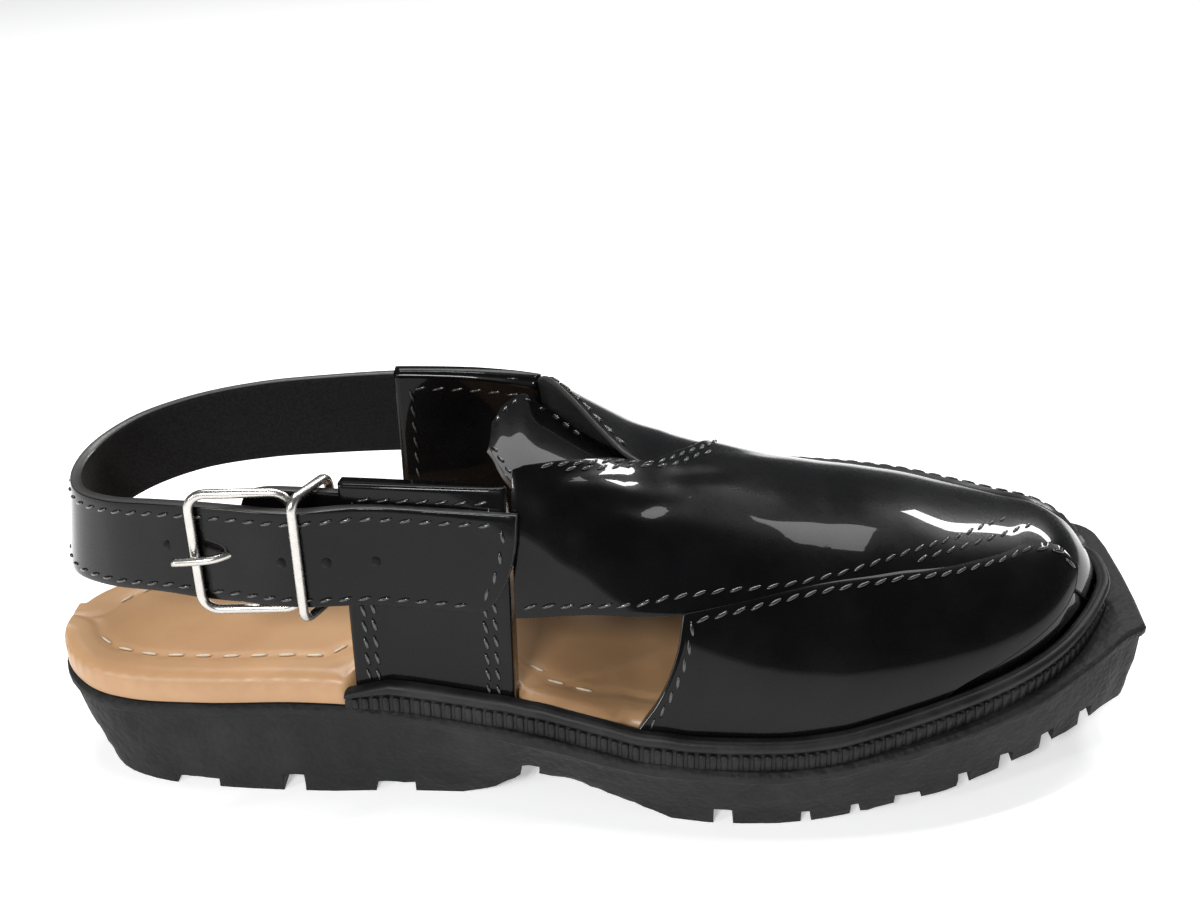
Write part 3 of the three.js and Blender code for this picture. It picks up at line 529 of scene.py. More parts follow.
class Shader:
    """One material under construction."""

    def __init__(self, name: str) -> None:
        """Starts a material with a Principled BSDF and Object coordinates.

        Args:
            name: the material's name.
        """
        self.material = bpy.data.materials.new(name)
        self.material.use_nodes = True
        self.tree = self.material.node_tree
        self.tree.nodes.clear()
        self.surface = self.node("ShaderNodeBsdfPrincipled", {}, {})
        output = self.node("ShaderNodeOutputMaterial", {}, {})
        self.tree.links.new(self.surface.outputs[0], output.inputs[0])
        self.place = self.node("ShaderNodeTexCoord", {}, {}).outputs["Object"]

    def node(self, kind: str, settings: dict, inputs: dict) -> bpy.types.Node:
        """Adds a node.

        Args:
            kind: the node's type.
            settings: its attributes, set first.
            inputs: values, sockets or wrapped sockets by input name or number.

        Returns:
            The node.
        """
        made = self.tree.nodes.new(kind)
        for key, value in settings.items():
            setattr(made, key, value)
        for key, value in inputs.items():
            socket = made.inputs[key]
            if isinstance(value, Value):
                self.tree.links.new(value.socket, socket)
            elif isinstance(value, bpy.types.NodeSocket):
                self.tree.links.new(value, socket)
            else:
                socket.default_value = value
        return made

    def noise(self, scale: float, detail: float = 3.0, roughness: float = 0.5,
              stretch: Sequence[float] = (1, 1, 1)) -> Value:
        """Gives a noise of the piece's own place.

        Args:
            scale: cells per metre.
            detail: how many finer layers it has.
            roughness: how strong the finer layers are.
            stretch: factor on the place along each axis.

        Returns:
            The noise.
        """
        spot = self.node("ShaderNodeMapping", {}, {"Vector": self.place, "Scale": tuple(stretch)})
        made = self.node(
            "ShaderNodeTexNoise", {},
            {"Vector": spot.outputs[0], "Scale": scale, "Detail": detail, "Roughness": roughness},
        )
        return Value(self, made.outputs["Fac"])

    def cells(self, scale: float) -> Value:
        """Gives the distance to the nearest cell centre of a Voronoi pattern.

        Args:
            scale: cells per metre.

        Returns:
            The distance.
        """
        made = self.node("ShaderNodeTexVoronoi", {}, {"Vector": self.place, "Scale": scale})
        return Value(self, made.outputs["Distance"])

    def mixed(self, share: Value, first: Sequence[float],
              second: Sequence[float]) -> bpy.types.NodeSocket:
        """Gives a colour between two by a share.

        Args:
            share: how much of the second colour there is.
            first: colour at share 0.
            second: colour at share 1.

        Returns:
            The colour's socket.
        """
        made = self.node(
            "ShaderNodeMix", {"data_type": "RGBA"},
            {0: share, 6: (*first, 1.0), 7: (*second, 1.0)},
        )
        return made.outputs[2]

    def bump(self, layers: Sequence[tuple[Value, float]]) -> None:
        """Raises the surface by layers.

        Args:
            layers: each layer's height and its depth in metres.
        """
        below: Optional[bpy.types.NodeSocket] = None
        for height, depth in layers:
            inputs: dict = {"Strength": 1.0, "Distance": depth, "Height": height}
            if below is not None:
                inputs["Normal"] = below
            below = self.node("ShaderNodeBump", {}, inputs).outputs[0]
        self.tree.links.new(below, self.surface.inputs["Normal"])

    def set(self, **sockets: Union[float, Sequence[float], Value, bpy.types.NodeSocket]) -> None:
        """Sets the surface's sockets, with underscores for spaces in their names.

        Args:
            **sockets: a value, colour or socket for each input.
        """
        for key, value in sockets.items():
            socket = self.surface.inputs[key.replace("_", " ")]
            if isinstance(value, Value):
                self.tree.links.new(value.socket, socket)
            elif isinstance(value, bpy.types.NodeSocket):
                self.tree.links.new(value, socket)
            elif socket.type == "RGBA":
                socket.default_value = (*value, 1.0)
            else:
                socket.default_value = value


@dataclass(frozen=True)
class PatentLeather:
    """Black leather under a thick clear coat with a soft ripple."""

    name: str = "patent_leather"
    color: tuple[float, float, float] = (0.0018, 0.0018, 0.002)
    ripple: float = 0.00007
    grain: float = 0.000007

    def build(self) -> bpy.types.Material:
        """Makes the material.

        Returns:
            The material.
        """
        shader = Shader(self.name)
        dust = shader.noise(60, 4).clamped(0.45, 0.75)
        smear = shader.noise(220, 5, 0.7)
        shader.set(
            Base_Color=shader.mixed(dust, self.color, (0.004, 0.004, 0.0045)),
            Roughness=0.2 + smear * 0.16,
            Specular_IOR_Level=0.06,
            Coat_Weight=1.0,
            Coat_Roughness=0.03,
            Coat_IOR=1.23,
        )
        shader.bump([
            (shader.noise(50, 2, 0.4, (0.22, 1.0, 1.0)), self.ripple * 2.2),
            (shader.noise(150, 2, 0.5), self.ripple * 0.4),
            (shader.noise(1500, 2, 0.5), self.grain),
        ])
        return shader.material


@dataclass(frozen=True)
class HighlitCutEdge:
    """The cut edge of a hide, paler than its face as a painted highlight along the edge."""

    name: str = "leather_edge_painted_highlight"
    # paler than the face: painted highlight along the cut edges; the fibre noise below is the
    # edge's own grain
    color: tuple[float, float, float] = (0.055, 0.053, 0.05)

    def build(self) -> bpy.types.Material:
        """Makes the material.

        Returns:
            The material.
        """
        shader = Shader(self.name)
        fibre = shader.noise(900, 4, 0.7)
        shader.set(
            Base_Color=shader.mixed(fibre, (0.02, 0.02, 0.02), self.color),
            Roughness=0.45,
            Coat_Weight=0.3,
            Coat_Roughness=0.2,
        )
        shader.bump([(fibre, 0.00008)])
        return shader.material


@dataclass(frozen=True)
class Felt:
    """Napped black lining."""

    name: str = "felt_lining"
    color: tuple[float, float, float] = (0.005, 0.005, 0.0055)

    def build(self) -> bpy.types.Material:
        """Makes the material.

        Returns:
            The material.
        """
        shader = Shader(self.name)
        nap = shader.noise(1400, 5, 0.75)
        shader.set(
            Base_Color=shader.mixed(nap.clamped(0.35, 0.7), self.color, (0.016, 0.016, 0.017)),
            Roughness=0.95,
            Specular_IOR_Level=0.15,
            Sheen_Weight=0.04,
        )
        shader.bump([(nap, 0.00018)])
        return shader.material


@dataclass(frozen=True)
class TanLeather:
    """Smooth caramel leather of the insole."""

    name: str = "insole_leather"
    color: tuple[float, float, float] = (0.4, 0.222, 0.103)

    def build(self) -> bpy.types.Material:
        """Makes the material.

        Returns:
            The material.
        """
        shader = Shader(self.name)
        cloud = shader.noise(35, 4, 0.55)
        pores = shader.cells(2200)
        shader.set(
            Base_Color=shader.mixed(cloud.clamped(0.3, 0.75), self.color, (0.48, 0.285, 0.145)),
            Roughness=0.36 + shader.noise(300, 4) * 0.16,
            Coat_Weight=0.25,
            Coat_Roughness=0.3,
        )
        shader.bump([(shader.noise(70, 3), 0.0003), (pores, 0.00002)])
        return shader.material


@dataclass(frozen=True)
class MattRubber:
    """Grained black rubber of the sole."""

    name: str = "sole_rubber"
    color: tuple[float, float, float] = (0.011, 0.011, 0.0115)
    roughness: float = 0.62
    grain: float = 0.00022

    def build(self) -> bpy.types.Material:
        """Makes the material.

        Returns:
            The material.
        """
        shader = Shader(self.name)
        pebble = shader.cells(620)
        worn = shader.noise(45, 5, 0.65).clamped(0.45, 0.72)
        shader.set(
            Base_Color=shader.mixed(worn, self.color, (0.024, 0.0235, 0.023)),
            Roughness=self.roughness + worn * 0.12,
            Specular_IOR_Level=0.22,
        )
        shader.bump([
            (shader.noise(75, 3, 0.6), self.grain * 6),
            (shader.noise(260, 4, 0.6), self.grain * 2),
            (pebble, self.grain),
        ])
        return shader.material


@dataclass(frozen=True)
class Thread:
    """Twisted sewing thread."""

    name: str
    color: tuple[float, float, float]
    roughness: float
    coat: float

    def build(self) -> bpy.types.Material:
        """Makes the material.

        Returns:
            The material.
        """
        shader = Shader(self.name)
        twist = shader.noise(2600, 2)
        shade = tuple(part * 0.55 for part in self.color)
        shader.set(
            Base_Color=shader.mixed(twist, shade, self.color),
            Roughness=self.roughness,
            Coat_Weight=self.coat,
            Coat_Roughness=0.08,
        )
        shader.bump([(twist, 0.00006)])
        return shader.material


@dataclass(frozen=True)
class SatinNickel:
    """Plated wire of the buckle."""

    name: str = "satin_nickel"
    color: tuple[float, float, float] = (0.63, 0.61, 0.58)

    def build(self) -> bpy.types.Material:
        """Makes the material.

        Returns:
            The material.
        """
        shader = Shader(self.name)
        rub = shader.noise(500, 4, 0.6)
        shader.set(
            Base_Color=shader.mixed(rub, self.color, (0.5, 0.48, 0.45)),
            Metallic=1.0,
            Roughness=0.2 + rub * 0.14,
        )
        shader.bump([(shader.noise(1100, 3), 0.00001)])
        return shader.material


class Cloth(Enum):
    """Which thread a seam is sewn with."""

    BLACK = "black_thread"
    CREAM = "cream_thread"


@dataclass
class Workshop:
    """Finishes and the way each piece is made into an object."""

    finishes: dict[str, bpy.types.Material] = field(default_factory=dict)

    def __post_init__(self) -> None:
        """Makes every finish once."""
        for finish in (
            PatentLeather(), HighlitCutEdge(), Felt(), TanLeather(), MattRubber(), SatinNickel(),
            MattRubber("welt_rubber", (0.008, 0.008, 0.0085), 0.45, 0.00003),
            Thread(Cloth.BLACK.value, (0.006, 0.006, 0.0065), 0.35, 1.0),
            Thread(Cloth.CREAM.value, (0.72, 0.62, 0.47), 0.6, 0.0),
        ):
            self.finishes[finish.name] = finish.build()

    def piece(self, name: str, bm: bmesh.types.BMesh, finishes: Sequence[str], node: Optional[str],
              slot: str) -> bpy.types.Object:
        """Makes an object of a bmesh, puts it under the root body and hides the CAD node it stands
        for.

        Args:
            name: the piece's name.
            bm: its mesh, in metres, freed here.
            finishes: names of the finishes in material order.
            node: the CAD node it stands for, if any.
            slot: not used.

        Returns:
            The object.
        """
        mesh = bpy.data.meshes.new(name)
        bm.to_mesh(mesh)
        bm.free()
        mesh.shade_smooth()
        made = bpy.data.objects.new(name, mesh)
        bpy.context.scene.collection.objects.link(made)
        for finish in finishes:
            mesh.materials.append(self.finishes[finish])
        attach(made, "root")
        if node is not None:
            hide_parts(node)
        LOG.info("%s: %d faces", name, len(mesh.polygons))
        return made


@dataclass
class Seam:
    """A row of stitches along points of a surface."""

    pitch: float = 4.7
    length: float = 4.2
    width: float = 1.0
    height: float = 0.95
    slant: float = 15.0

    AIM = 0.8

    def sew(self, bm: bmesh.types.BMesh, points: Sequence[np.ndarray],
            normals: Sequence[np.ndarray]) -> None:
        """Adds stitches to a mesh.

        Args:
            bm: the mesh that takes the stitches.
            points: the row's line on the surface, in shoe millimetres.
            normals: the outward direction at each point.
        """
        line = np.array(points)
        reach = reach_along(line)
        count = max(1, int(reach[-1] / self.pitch))
        outward = np.array(normals)
        for stitch in range(count):
            middle = (stitch + 0.5) * reach[-1] / count
            spot = at_reach(middle, reach, line)
            up = unit(at_reach(middle, reach, outward))
            ahead = unit(
                at_reach(middle + self.AIM, reach, line) - at_reach(middle - self.AIM, reach, line)
            )
            side = unit(np.cross(up, ahead))
            turn = math.radians(self.slant)
            ahead, side = (
                ahead * math.cos(turn) + side * math.sin(turn),
                side * math.cos(turn) - ahead * math.sin(turn),
            )
            axes = Matrix((ahead, side, up)).transposed().to_4x4()
            scale = Matrix.Diagonal((self.length / 2000, self.width / 2000, self.height / 2000, 1))
            place = Matrix.Translation(metres(spot + up * 0.1 * self.height))
            bmesh.ops.create_uvsphere(
                bm, u_segments=8, v_segments=5, radius=1, matrix=place @ axes @ scale
            )


def round_edges(bm: bmesh.types.BMesh, edges: Sequence[bmesh.types.BMEdge], offset: float,
                segments: int, clamped: bool) -> None:
    """Rounds edges of a mesh.

    Args:
        bm: the mesh.
        edges: the edges to round.
        offset: width of the rounding in metres.
        segments: faces across it.
        clamped: whether it stays clear of its neighbours.
    """
    bmesh.ops.bevel(
        bm, geom=edges, offset=offset, offset_type="OFFSET", segments=segments, profile=0.5,
        affect="EDGES", material=-1, clamp_overlap=clamped,
    )


class Patch:
    """A four-sided sheet, given by a surface over (u, v) from 0 to 1."""

    def __init__(self, surface: Callable[[float, float, float], np.ndarray], us: int,
                 vs: int) -> None:
        """Keeps the surface.

        Args:
            surface: gives the point at u, v and an offset outwards.
            us: faces along u.
            vs: faces along v.
        """
        self.surface = surface
        self.us = us
        self.vs = vs

    def normal(self, u: float, v: float) -> np.ndarray:
        """Gives the direction in which the offset grows.

        Args:
            u: place along u.
            v: place along v.

        Returns:
            The direction, one long.
        """
        return unit(self.surface(u, v, 1.0) - self.surface(u, v, 0.0))

    def mesh(self) -> bmesh.types.BMesh:
        """Makes the sheet without a thickness.

        Returns:
            The open mesh.
        """
        bm = bmesh.new()
        bmesh.ops.create_grid(bm, x_segments=self.us, y_segments=self.vs, size=0.5)
        for vert in bm.verts:
            vert.co = metres(self.surface(vert.co.x + 0.5, vert.co.y + 0.5, 0.0))
        return bm

    def shell(self, thickness: float, inside: int, rim: int, soft: float,
              segments: int = 2) -> bmesh.types.BMesh:
        """Makes the sheet with its wall.

        Args:
            thickness: how thick the wall is, inwards.
            inside: the finish's number on the inner face.
            rim: the finish's number on the cut edges.
            soft: width of the rounding along the edges.
            segments: faces across the rounding.

        Returns:
            The closed mesh.
        """
        bm = bmesh.new()
        bmesh.ops.create_grid(bm, x_segments=self.us, y_segments=self.vs, size=0.5)
        border = [edge for edge in bm.edges if edge.is_boundary]
        outer = bm.verts[:]
        copied = bmesh.ops.duplicate(bm, geom=bm.faces[:])
        twins = copied["vert_map"]
        inner = [item for item in copied["geom"] if isinstance(item, bmesh.types.BMFace)]
        for vert in outer:
            u, v = vert.co.x + 0.5, vert.co.y + 0.5
            vert.co = metres(self.surface(u, v, 0.0))
            twins[vert].co = metres(self.surface(u, v, -thickness))
        for face in inner:
            face.material_index = inside
        bmesh.ops.reverse_faces(bm, faces=inner)
        edges = [edge for edge in bm.edges if edge.is_boundary]
        walls = bmesh.ops.bridge_loops(bm, edges=edges)["faces"]
        for face in walls:
            face.material_index = rim
        bmesh.ops.recalc_face_normals(bm, faces=bm.faces[:])
        edges = [edge for edge in border if edge.is_valid]
        round_edges(bm, edges, soft / 1000, segments, True)
        return bm

    def row(self, edge: str, inset: float, start: float, end: float, lift: float = 0.0,
            steps: int = 60) -> tuple[list[np.ndarray], list[np.ndarray]]:
        """Finds the line at a distance inside one edge.

        Args:
            edge: "u0", "u1", "v0" or "v1".
            inset: distance from the edge in millimetres.
            start: where the row starts along the edge, from 0 to 1.
            end: where it ends.
            lift: how far over the sheet it lies.
            steps: how many points it has.

        Returns:
            The points and their normals.
        """
        points: list[np.ndarray] = []
        normals: list[np.ndarray] = []
        for step in range(steps + 1):
            along = start + (end - start) * step / steps
            left = inset
            share = 0.0
            here = self._on(edge, along, 0.0, lift)
            for _ in range(4):
                ahead = self._on(edge, along, share + 0.01, lift)
                speed = max(float(np.linalg.norm(ahead - here)) / 0.01, 1.0)
                share = min(share + left / speed, 0.9)
                gone = self._on(edge, along, share, lift)
                left = inset - float(np.linalg.norm(gone - self._on(edge, along, 0.0, lift)))
                here = gone
            points.append(here)
            u, v = self._place(edge, along, share)
            normals.append(self.normal(u, v))
        return points, normals

    @staticmethod
    def _place(edge: str, along: float, share: float) -> tuple[float, float]:
        """Gives u and v of a place along an edge and a share of the way to the other edge.

        Args:
            edge: the edge's name.
            along: place along it.
            share: share of the way to the other edge.

        Returns:
            u and v.
        """
        away = share if edge[1] == "0" else 1 - share
        return (away, along) if edge[0] == "u" else (along, away)

    def _on(self, edge: str, along: float, share: float, lift: float) -> np.ndarray:
        """Gives the point at a place along an edge and a share of the way across.

        Args:
            edge: the edge's name.
            along: place along it.
            share: share of the way to the other edge.
            lift: offset outwards.

        Returns:
            The point.
        """
        u, v = self._place(edge, along, share)
        return self.surface(u, v, lift)


def coons(bottom: Callable, top: Callable, left: Callable, right: Callable) -> Callable:
    """Blends four border curves that meet at their corners.

    Args:
        bottom: border at v = 0, over u.
        top: border at v = 1, over u.
        left: border at u = 0, over v.
        right: border at u = 1, over v.

    Returns:
        A function of u and v.
    """
    corners = [np.array(bottom(0)), np.array(bottom(1)), np.array(top(0)), np.array(top(1))]

    def blended(u: float, v: float) -> np.ndarray:
        """Gives the blended place."""
        ruled = (1 - v) * np.array(bottom(u)) + v * np.array(top(u))
        ruled = ruled + (1 - u) * np.array(left(v)) + u * np.array(right(v))
        return ruled - (
            (1 - u) * (1 - v) * corners[0] + u * (1 - v) * corners[1]
            + (1 - u) * v * corners[2] + u * v * corners[3]
        )

    return blended


def line_through(rows: Sequence[Sequence[float]]) -> Callable[[float], np.ndarray]:
    """Gives a curve through table rows over 0 to 1, evenly spread by its length.

    Args:
        rows: the rows it runs through.

    Returns:
        A function of the share of its length.
    """
    spline = Spline(rows)
    samples = np.array([spline(step / 200) for step in range(201)])
    reach = reach_along(samples)
    reach /= reach[-1]

    def at(place: float) -> np.ndarray:
        """Gives the point at a share of the length."""
        return at_reach(place, reach, samples)

    return at


@dataclass
class Creases:
    """Folds pressed into the leather, as lines in plan with a width and a depth."""

    rows: Sequence[Sequence[float]] = (
        # x, y, x, y, width, depth
        (134, -33, 160, -14, 2.2, 0.4), (138, -38, 172, -20, 2.4, 0.4),
        (146, -40, 186, -27, 2.8, 0.3), (158, -39, 198, -32, 2.6, 0.2),
        (166, -12, 186, 0, 2.6, 0.25), (172, -22, 206, -10, 4.0, 0.12),
        (178, 10, 200, 22, 3.2, 0.2), (150, -34, 168, -33, 2.0, 0.25),
    )

    def depth(self, point: np.ndarray) -> float:
        """Gives how far a point sinks.

        Args:
            point: a point of the leather.

        Returns:
            The depth in millimetres.
        """
        total = 0.0
        for x0, y0, x1, y1, width, depth in self.rows:
            start = np.array([x0, y0])
            way = np.array([x1 - x0, y1 - y0], float)
            share = float(np.dot(point[:2] - start, way) / np.dot(way, way))
            if -0.3 < share < 1.3:
                gap = float(np.linalg.norm(point[:2] - start - way * min(max(share, 0), 1)))
                ends = math.exp(-((2 * share - 1) / 0.9) ** 4)
                hollow = math.exp(-((gap / width) ** 2))
                ridge = 0.35 * math.exp(-(((gap - 2 * width) / width) ** 2))
                total += depth * ends * (hollow - ridge)
        return total


@dataclass
class Upper:
    """The crossed straps, side panels and ankle tabs."""

    last: Last
    shop: Workshop
    panel_lift: float = 0.0
    cross_lift: float = -0.9
    inner_lift: float = -1.8
    inner_face: float = -3.3
    tab_wall: float = 5.2
    tab_width: float = 42.0
    outer_tab: float = 0.288
    inner_tab: float = 0.306
    outer_rise: float = 64.5
    inner_rise: float = 68.0
    seam: Seam = field(default_factory=Seam)
    creases: Creases = field(default_factory=Creases)

    OUTER_REAR = ((0.515, 0.2), (0.532, 0.47), (0.551, 0.65), (0.567, 0.88), (0.573, 1.06))
    OUTER_TOP = (
        (0.573, 1.06), (0.627, 1.085), (0.694, 1.105), (0.757, 1.098), (0.81, 1.07), (0.86, 1.05),
        (0.878, 1.047), (0.907, 1.02), (0.93, 0.92),
    )
    OUTER_FRONT = ((0.76, 0.2), (0.8, 0.6), (0.85, 0.69), (0.895, 0.765), (0.921, 0.84),
                   (0.93, 0.92))
    INNER_REAR = ((0.53, 0.2), (0.548, 0.47), (0.57, 0.7), (0.585, 0.9), (0.592, 1.07))
    INNER_TOP = (
        (0.592, 1.07), (0.64, 1.16), (0.717, 1.17), (0.773, 1.14), (0.833, 1.09), (0.873, 1.06),
        (0.92, 1.01), (0.955, 0.86),
    )
    VAMP_END = 0.9645
    LINING_START, LINING_END = 0.62, 0.9635
    LINING_DEPTH, LINING_RISE = 1.9, 0.95
    INNER_FRONT = ((0.962, 0.2), (0.9618, 0.5), (0.96, 0.7), (0.955, 0.86))
    THROAT_OUTER = ((0.433, -0.585), (0.46, -0.5), (0.487, -0.385), (0.52, -0.21), (0.545, -0.115))
    CROSSING = ((0.573, 0.1), (0.588, 0.22), (0.6, 0.42), (0.602, 0.62))
    THROAT_INNER = (
        (0.446, 0.57), (0.46, 0.43), (0.484, 0.23), (0.507, 0.05), (0.528, -0.07), (0.56, -0.16),
    )
    CROSS_LOW = (
        (0.43, 0.995), (0.508, 1.053), (0.573, 1.055), (0.627, 1.03), (0.694, 1.05), (0.757, 1.045),
        (0.81, 1.01), (0.86, 0.985), (0.907, 0.93), (0.93, 0.83), (0.963, 0.6),
    )
    CROSS_HIGH = (
        (0.43, 1.0), (0.59, 1.0), (0.64, 1.1), (0.717, 1.11), (0.773, 1.08), (0.833, 1.03),
        (0.873, 1.0), (0.92, 0.93), (0.963, 0.6),
    )

    VAMP_STITCHES = (
        # x, y, z: z counts where it isn't 0, y elsewhere
        (131.0, 0, 61.2), (152.5, 0, 63.7), (174.1, 0, 65.6), (194.7, -34.1, 0), (208.4, -29.8, 0),
        (227.9, -20.6, 0), (245.0, -9.4, 0), (262.0, 4.9, 0),
    )
    TOE_STITCHES = ((232.0, -21.5, 0), (245.1, -13.2, 0), (258.0, -4.2, 0), (269.0, 4.1, 0))

    def throat_corner(self) -> float:
        """Finds where, across the crossing strap, its rear edge leaves the tab for the throat.

        Returns:
            The place along v.
        """
        along = 0.433 * SOLE_LENGTH
        low = self.last.share_at_height(along, 0.995 * INSTEP_RISE, -1)
        high = self.last.share_at_height(along, 1.0 * INSTEP_RISE, 1)
        return (self.last.share_at_across(along, -0.585 * HALF_WIDTH) - low) / (high - low)

    def panel(self, side: int) -> Patch:
        """Gives the toe panel of one side, as a sheet in the side view.

        Args:
            side: -1 for the outer side, +1 for the inner one.

        Returns:
            The sheet.
        """
        if side < 0:
            rear, top, front = self.OUTER_REAR, self.OUTER_TOP, self.OUTER_FRONT
        else:
            rear, top = self.INNER_REAR, self.INNER_TOP
            front = self.INNER_FRONT
        foot = (rear[0], front[0])
        place = coons(*(line_through(rows) for rows in (foot, top, rear, front)))

        def surface(u: float, v: float, offset: float) -> np.ndarray:
            """Gives the panel's point."""
            at, up = place(u, v)
            along = at * SOLE_LENGTH
            share = self.last.share_at_height(along, up * INSTEP_RISE, side)
            return self.last.point(along, share, offset + self.panel_lift)

        return Patch(surface, 110, 44)

    def vamp(self) -> Patch:
        """Gives the crossing strap, from the outer tab over the instep to the toe.

        Returns:
            The sheet.
        """
        last = self.last
        low_line, high_line = Column(self.CROSS_LOW), Column(self.CROSS_HIGH)
        rise = last.share_at_height(0.433 * SOLE_LENGTH, 1.02 * INSTEP_RISE, -1)
        rows = [(0.0, 0.43), (rise, 0.431)]
        for at, across in (*self.THROAT_OUTER, *self.CROSSING):
            rows.append((last.share_at_across(at * SOLE_LENGTH, across * HALF_WIDTH), at))
        start = Column([*rows, (0.93, 0.6), (1.0, 0.597)])

        def surface(u: float, v: float, offset: float) -> np.ndarray:
            """Gives the strap's point."""
            share = 0.3 + 0.4 * v
            at = 0.5
            for _ in range(5):
                begin = start(share)
                at = begin + (self.VAMP_END - begin) * u
                along = at * SOLE_LENGTH
                low = last.share_at_height(along, low_line(at) * INSTEP_RISE, -1)
                high = last.share_at_height(along, high_line(at) * INSTEP_RISE, 1)
                share = low + (high - low) * v
            along = at * SOLE_LENGTH
            spot = last.base(along, share)
            sunk = self.creases.depth(spot)
            return last.point(along, share, offset + self.cross_lift - sunk)

        return Patch(surface, 120, 84)

    def inner_strap(self) -> Patch:
        """Gives the inner strap, which runs in under the crossing one.

        Returns:
            The sheet.
        """
        last = self.last

        def low(u: float) -> np.ndarray:
            """Gives place and share on the strap's lower edge."""
            at = 0.443 + (0.63 - 0.443) * u
            up = np.interp(at, (0.443, 0.52, 0.592, 0.63), (1.03, 1.07, 1.075, 1.06))
            return np.array([at, last.share_at_height(at * SOLE_LENGTH, up * INSTEP_RISE, 1)])

        edge = line_through([
            (at, last.share_at_across(at * SOLE_LENGTH, across * HALF_WIDTH))
            for at, across in self.THROAT_INNER
        ])
        rear = line_through((low(0), edge(0)))
        front = line_through((low(1), edge(1)))
        place = coons(low, edge, rear, front)

        def surface(u: float, v: float, offset: float) -> np.ndarray:
            """Gives the strap's point."""
            at, share = place(u, v)
            return last.point(at * SOLE_LENGTH, share, offset + self.inner_lift)

        return Patch(surface, 50, 30)

    def tab(self, side: int) -> Patch:
        """Gives one ankle tab, from the seat to its folded top.

        Args:
            side: -1 for the outer side, +1 for the inner one.

        Returns:
            The sheet.
        """
        start = (self.outer_tab if side < 0 else self.inner_tab) * SOLE_LENGTH
        rise = self.outer_rise if side < 0 else self.inner_rise
        top = self.last.sole.seat(start + self.tab_width / 2) + rise

        def surface(u: float, v: float, offset: float) -> np.ndarray:
            """Gives the tab's point."""
            along = start + self.tab_width * u
            low = self.last.sole.seat(along) + 0.4
            share = self.last.share_at_height(along, low + (top - low) * v, side)
            return self.last.point(along, share, offset)

        return Patch(surface, 26, 40)

    def lining(self) -> Patch:
        """Gives the inner layer of the toe, seen where the panels end.

        Returns:
            The sheet.
        """
        last = self.last
        low_line, high_line = Column(self.CROSS_LOW), Column(self.CROSS_HIGH)

        def surface(u: float, v: float, offset: float) -> np.ndarray:
            """Gives the lining's point, at the crossing strap's level where that has ended."""
            at = self.LINING_START + (self.LINING_END - self.LINING_START) * u
            share = 0.01 + 0.98 * v
            limit = (low_line if v < 0.5 else high_line)(at) * INSTEP_RISE
            height = float(last.base(at * SOLE_LENGTH, share)[2])
            rise = min(max((limit - height) / 3, 0), 1) * min(max((at - 0.7) / 0.06, 0), 1)
            level = offset - self.LINING_DEPTH + self.LINING_RISE * rise
            return last.point(at * SOLE_LENGTH, share, level)

        return Patch(surface, 80, 90)

    def sewn_line(self, rows: Sequence[tuple[float, float, float]]) -> tuple[list, list]:
        """Gives a row of stitches on the crossing strap through measured places.

        Args:
            rows: x, y and z of each; z counts where it isn't 0, y elsewhere.

        Returns:
            The points and their normals.
        """
        shares = [
            (x, self.last.share_at_height(x, z, -1) if z else self.last.share_at_across(x, y))
            for x, y, z in rows
        ]
        line = line_through(shares)
        places = [line(step / 90) for step in range(91)]
        points = [self.last.point(x, share, self.cross_lift) for x, share in places]
        return points, [self.last.normal(x, share) for x, share in places]

    def sheet(self, name: str, patch: Patch, depth: float) -> None:
        """Makes one sheet of the upper with its wall and rounded edges.

        Args:
            name: the piece's name.
            patch: its outer face.
            depth: its thickness.
        """
        body = patch.shell(depth, FELT_FACE, CUT_RIM, 0.3)
        self.shop.piece(name, body, SHEET_FINISHES, "upper", "upper_leather")

    def frame_rows(self, patch: Patch, inset: float, lift: float) -> list[tuple[list, list]]:
        """Gives the rows of a sewn frame inside a tab.

        Args:
            patch: the tab.
            inset: distance from its edges.
            lift: how far over the tab's face they lie.

        Returns:
            Each row's points and normals.
        """
        wide, tall = inset / self.tab_width, inset / 62
        return [
            patch.row("u0", inset, 0.1, 1 - tall, lift),
            patch.row("u1", inset, 0.1, 1 - tall, lift),
            patch.row("v1", inset, wide, 1 - wide, lift),
        ]

    def build(self) -> None:
        """Makes all the upper's sheets and seams."""
        depth = self.inner_face
        outer, inner, vamp, strap = self.panel(-1), self.panel(1), self.vamp(), self.inner_strap()
        self.sheet("outer_panel", outer, self.panel_lift - depth)
        self.sheet("inner_panel", inner, self.panel_lift - depth)
        self.sheet("crossing_strap", vamp, self.cross_lift - depth - 0.05)
        self.sheet("inner_strap", strap, self.inner_lift - depth - 0.1)
        self.sheet("toe_lining", self.lining(), 1.3)
        thread = bmesh.new()
        for panel in (outer, inner):
            self.seam.sew(thread, *panel.row("v1", 2.2, 0.02, 0.97))
            self.seam.sew(thread, *panel.row("u0", 2.4, 0.12, 0.97))
        corner = self.throat_corner()
        self.seam.sew(thread, *vamp.row("u0", 2.4, corner + 0.02, 0.93))
        self.seam.sew(thread, *vamp.row("u0", 5.6, corner + 0.03, 0.6))
        for rows in (self.VAMP_STITCHES, self.TOE_STITCHES):
            self.seam.sew(thread, *self.sewn_line(rows))
        for edge in ("v1", "v0"):
            self.seam.sew(thread, *strap.row(edge, 2.4, 0.02, 0.8))
        for side, name in ((-1, "outer_tab"), (1, "inner_tab")):
            tab = self.tab(side)
            body = tab.shell(self.tab_wall, 0, 0, 0.9, 3)
            self.shop.piece(name, body, ("patent_leather",), "upper", "upper_leather")
            for rows in self.frame_rows(tab, 4.0, 0.0) + self.frame_rows(tab, 6.6, 0.0):
                self.seam.sew(thread, *rows)
            if side > 0:
                for points, normals in self.frame_rows(tab, 4.6, -self.tab_wall):
                    self.seam.sew(thread, points, [-normal for normal in normals])
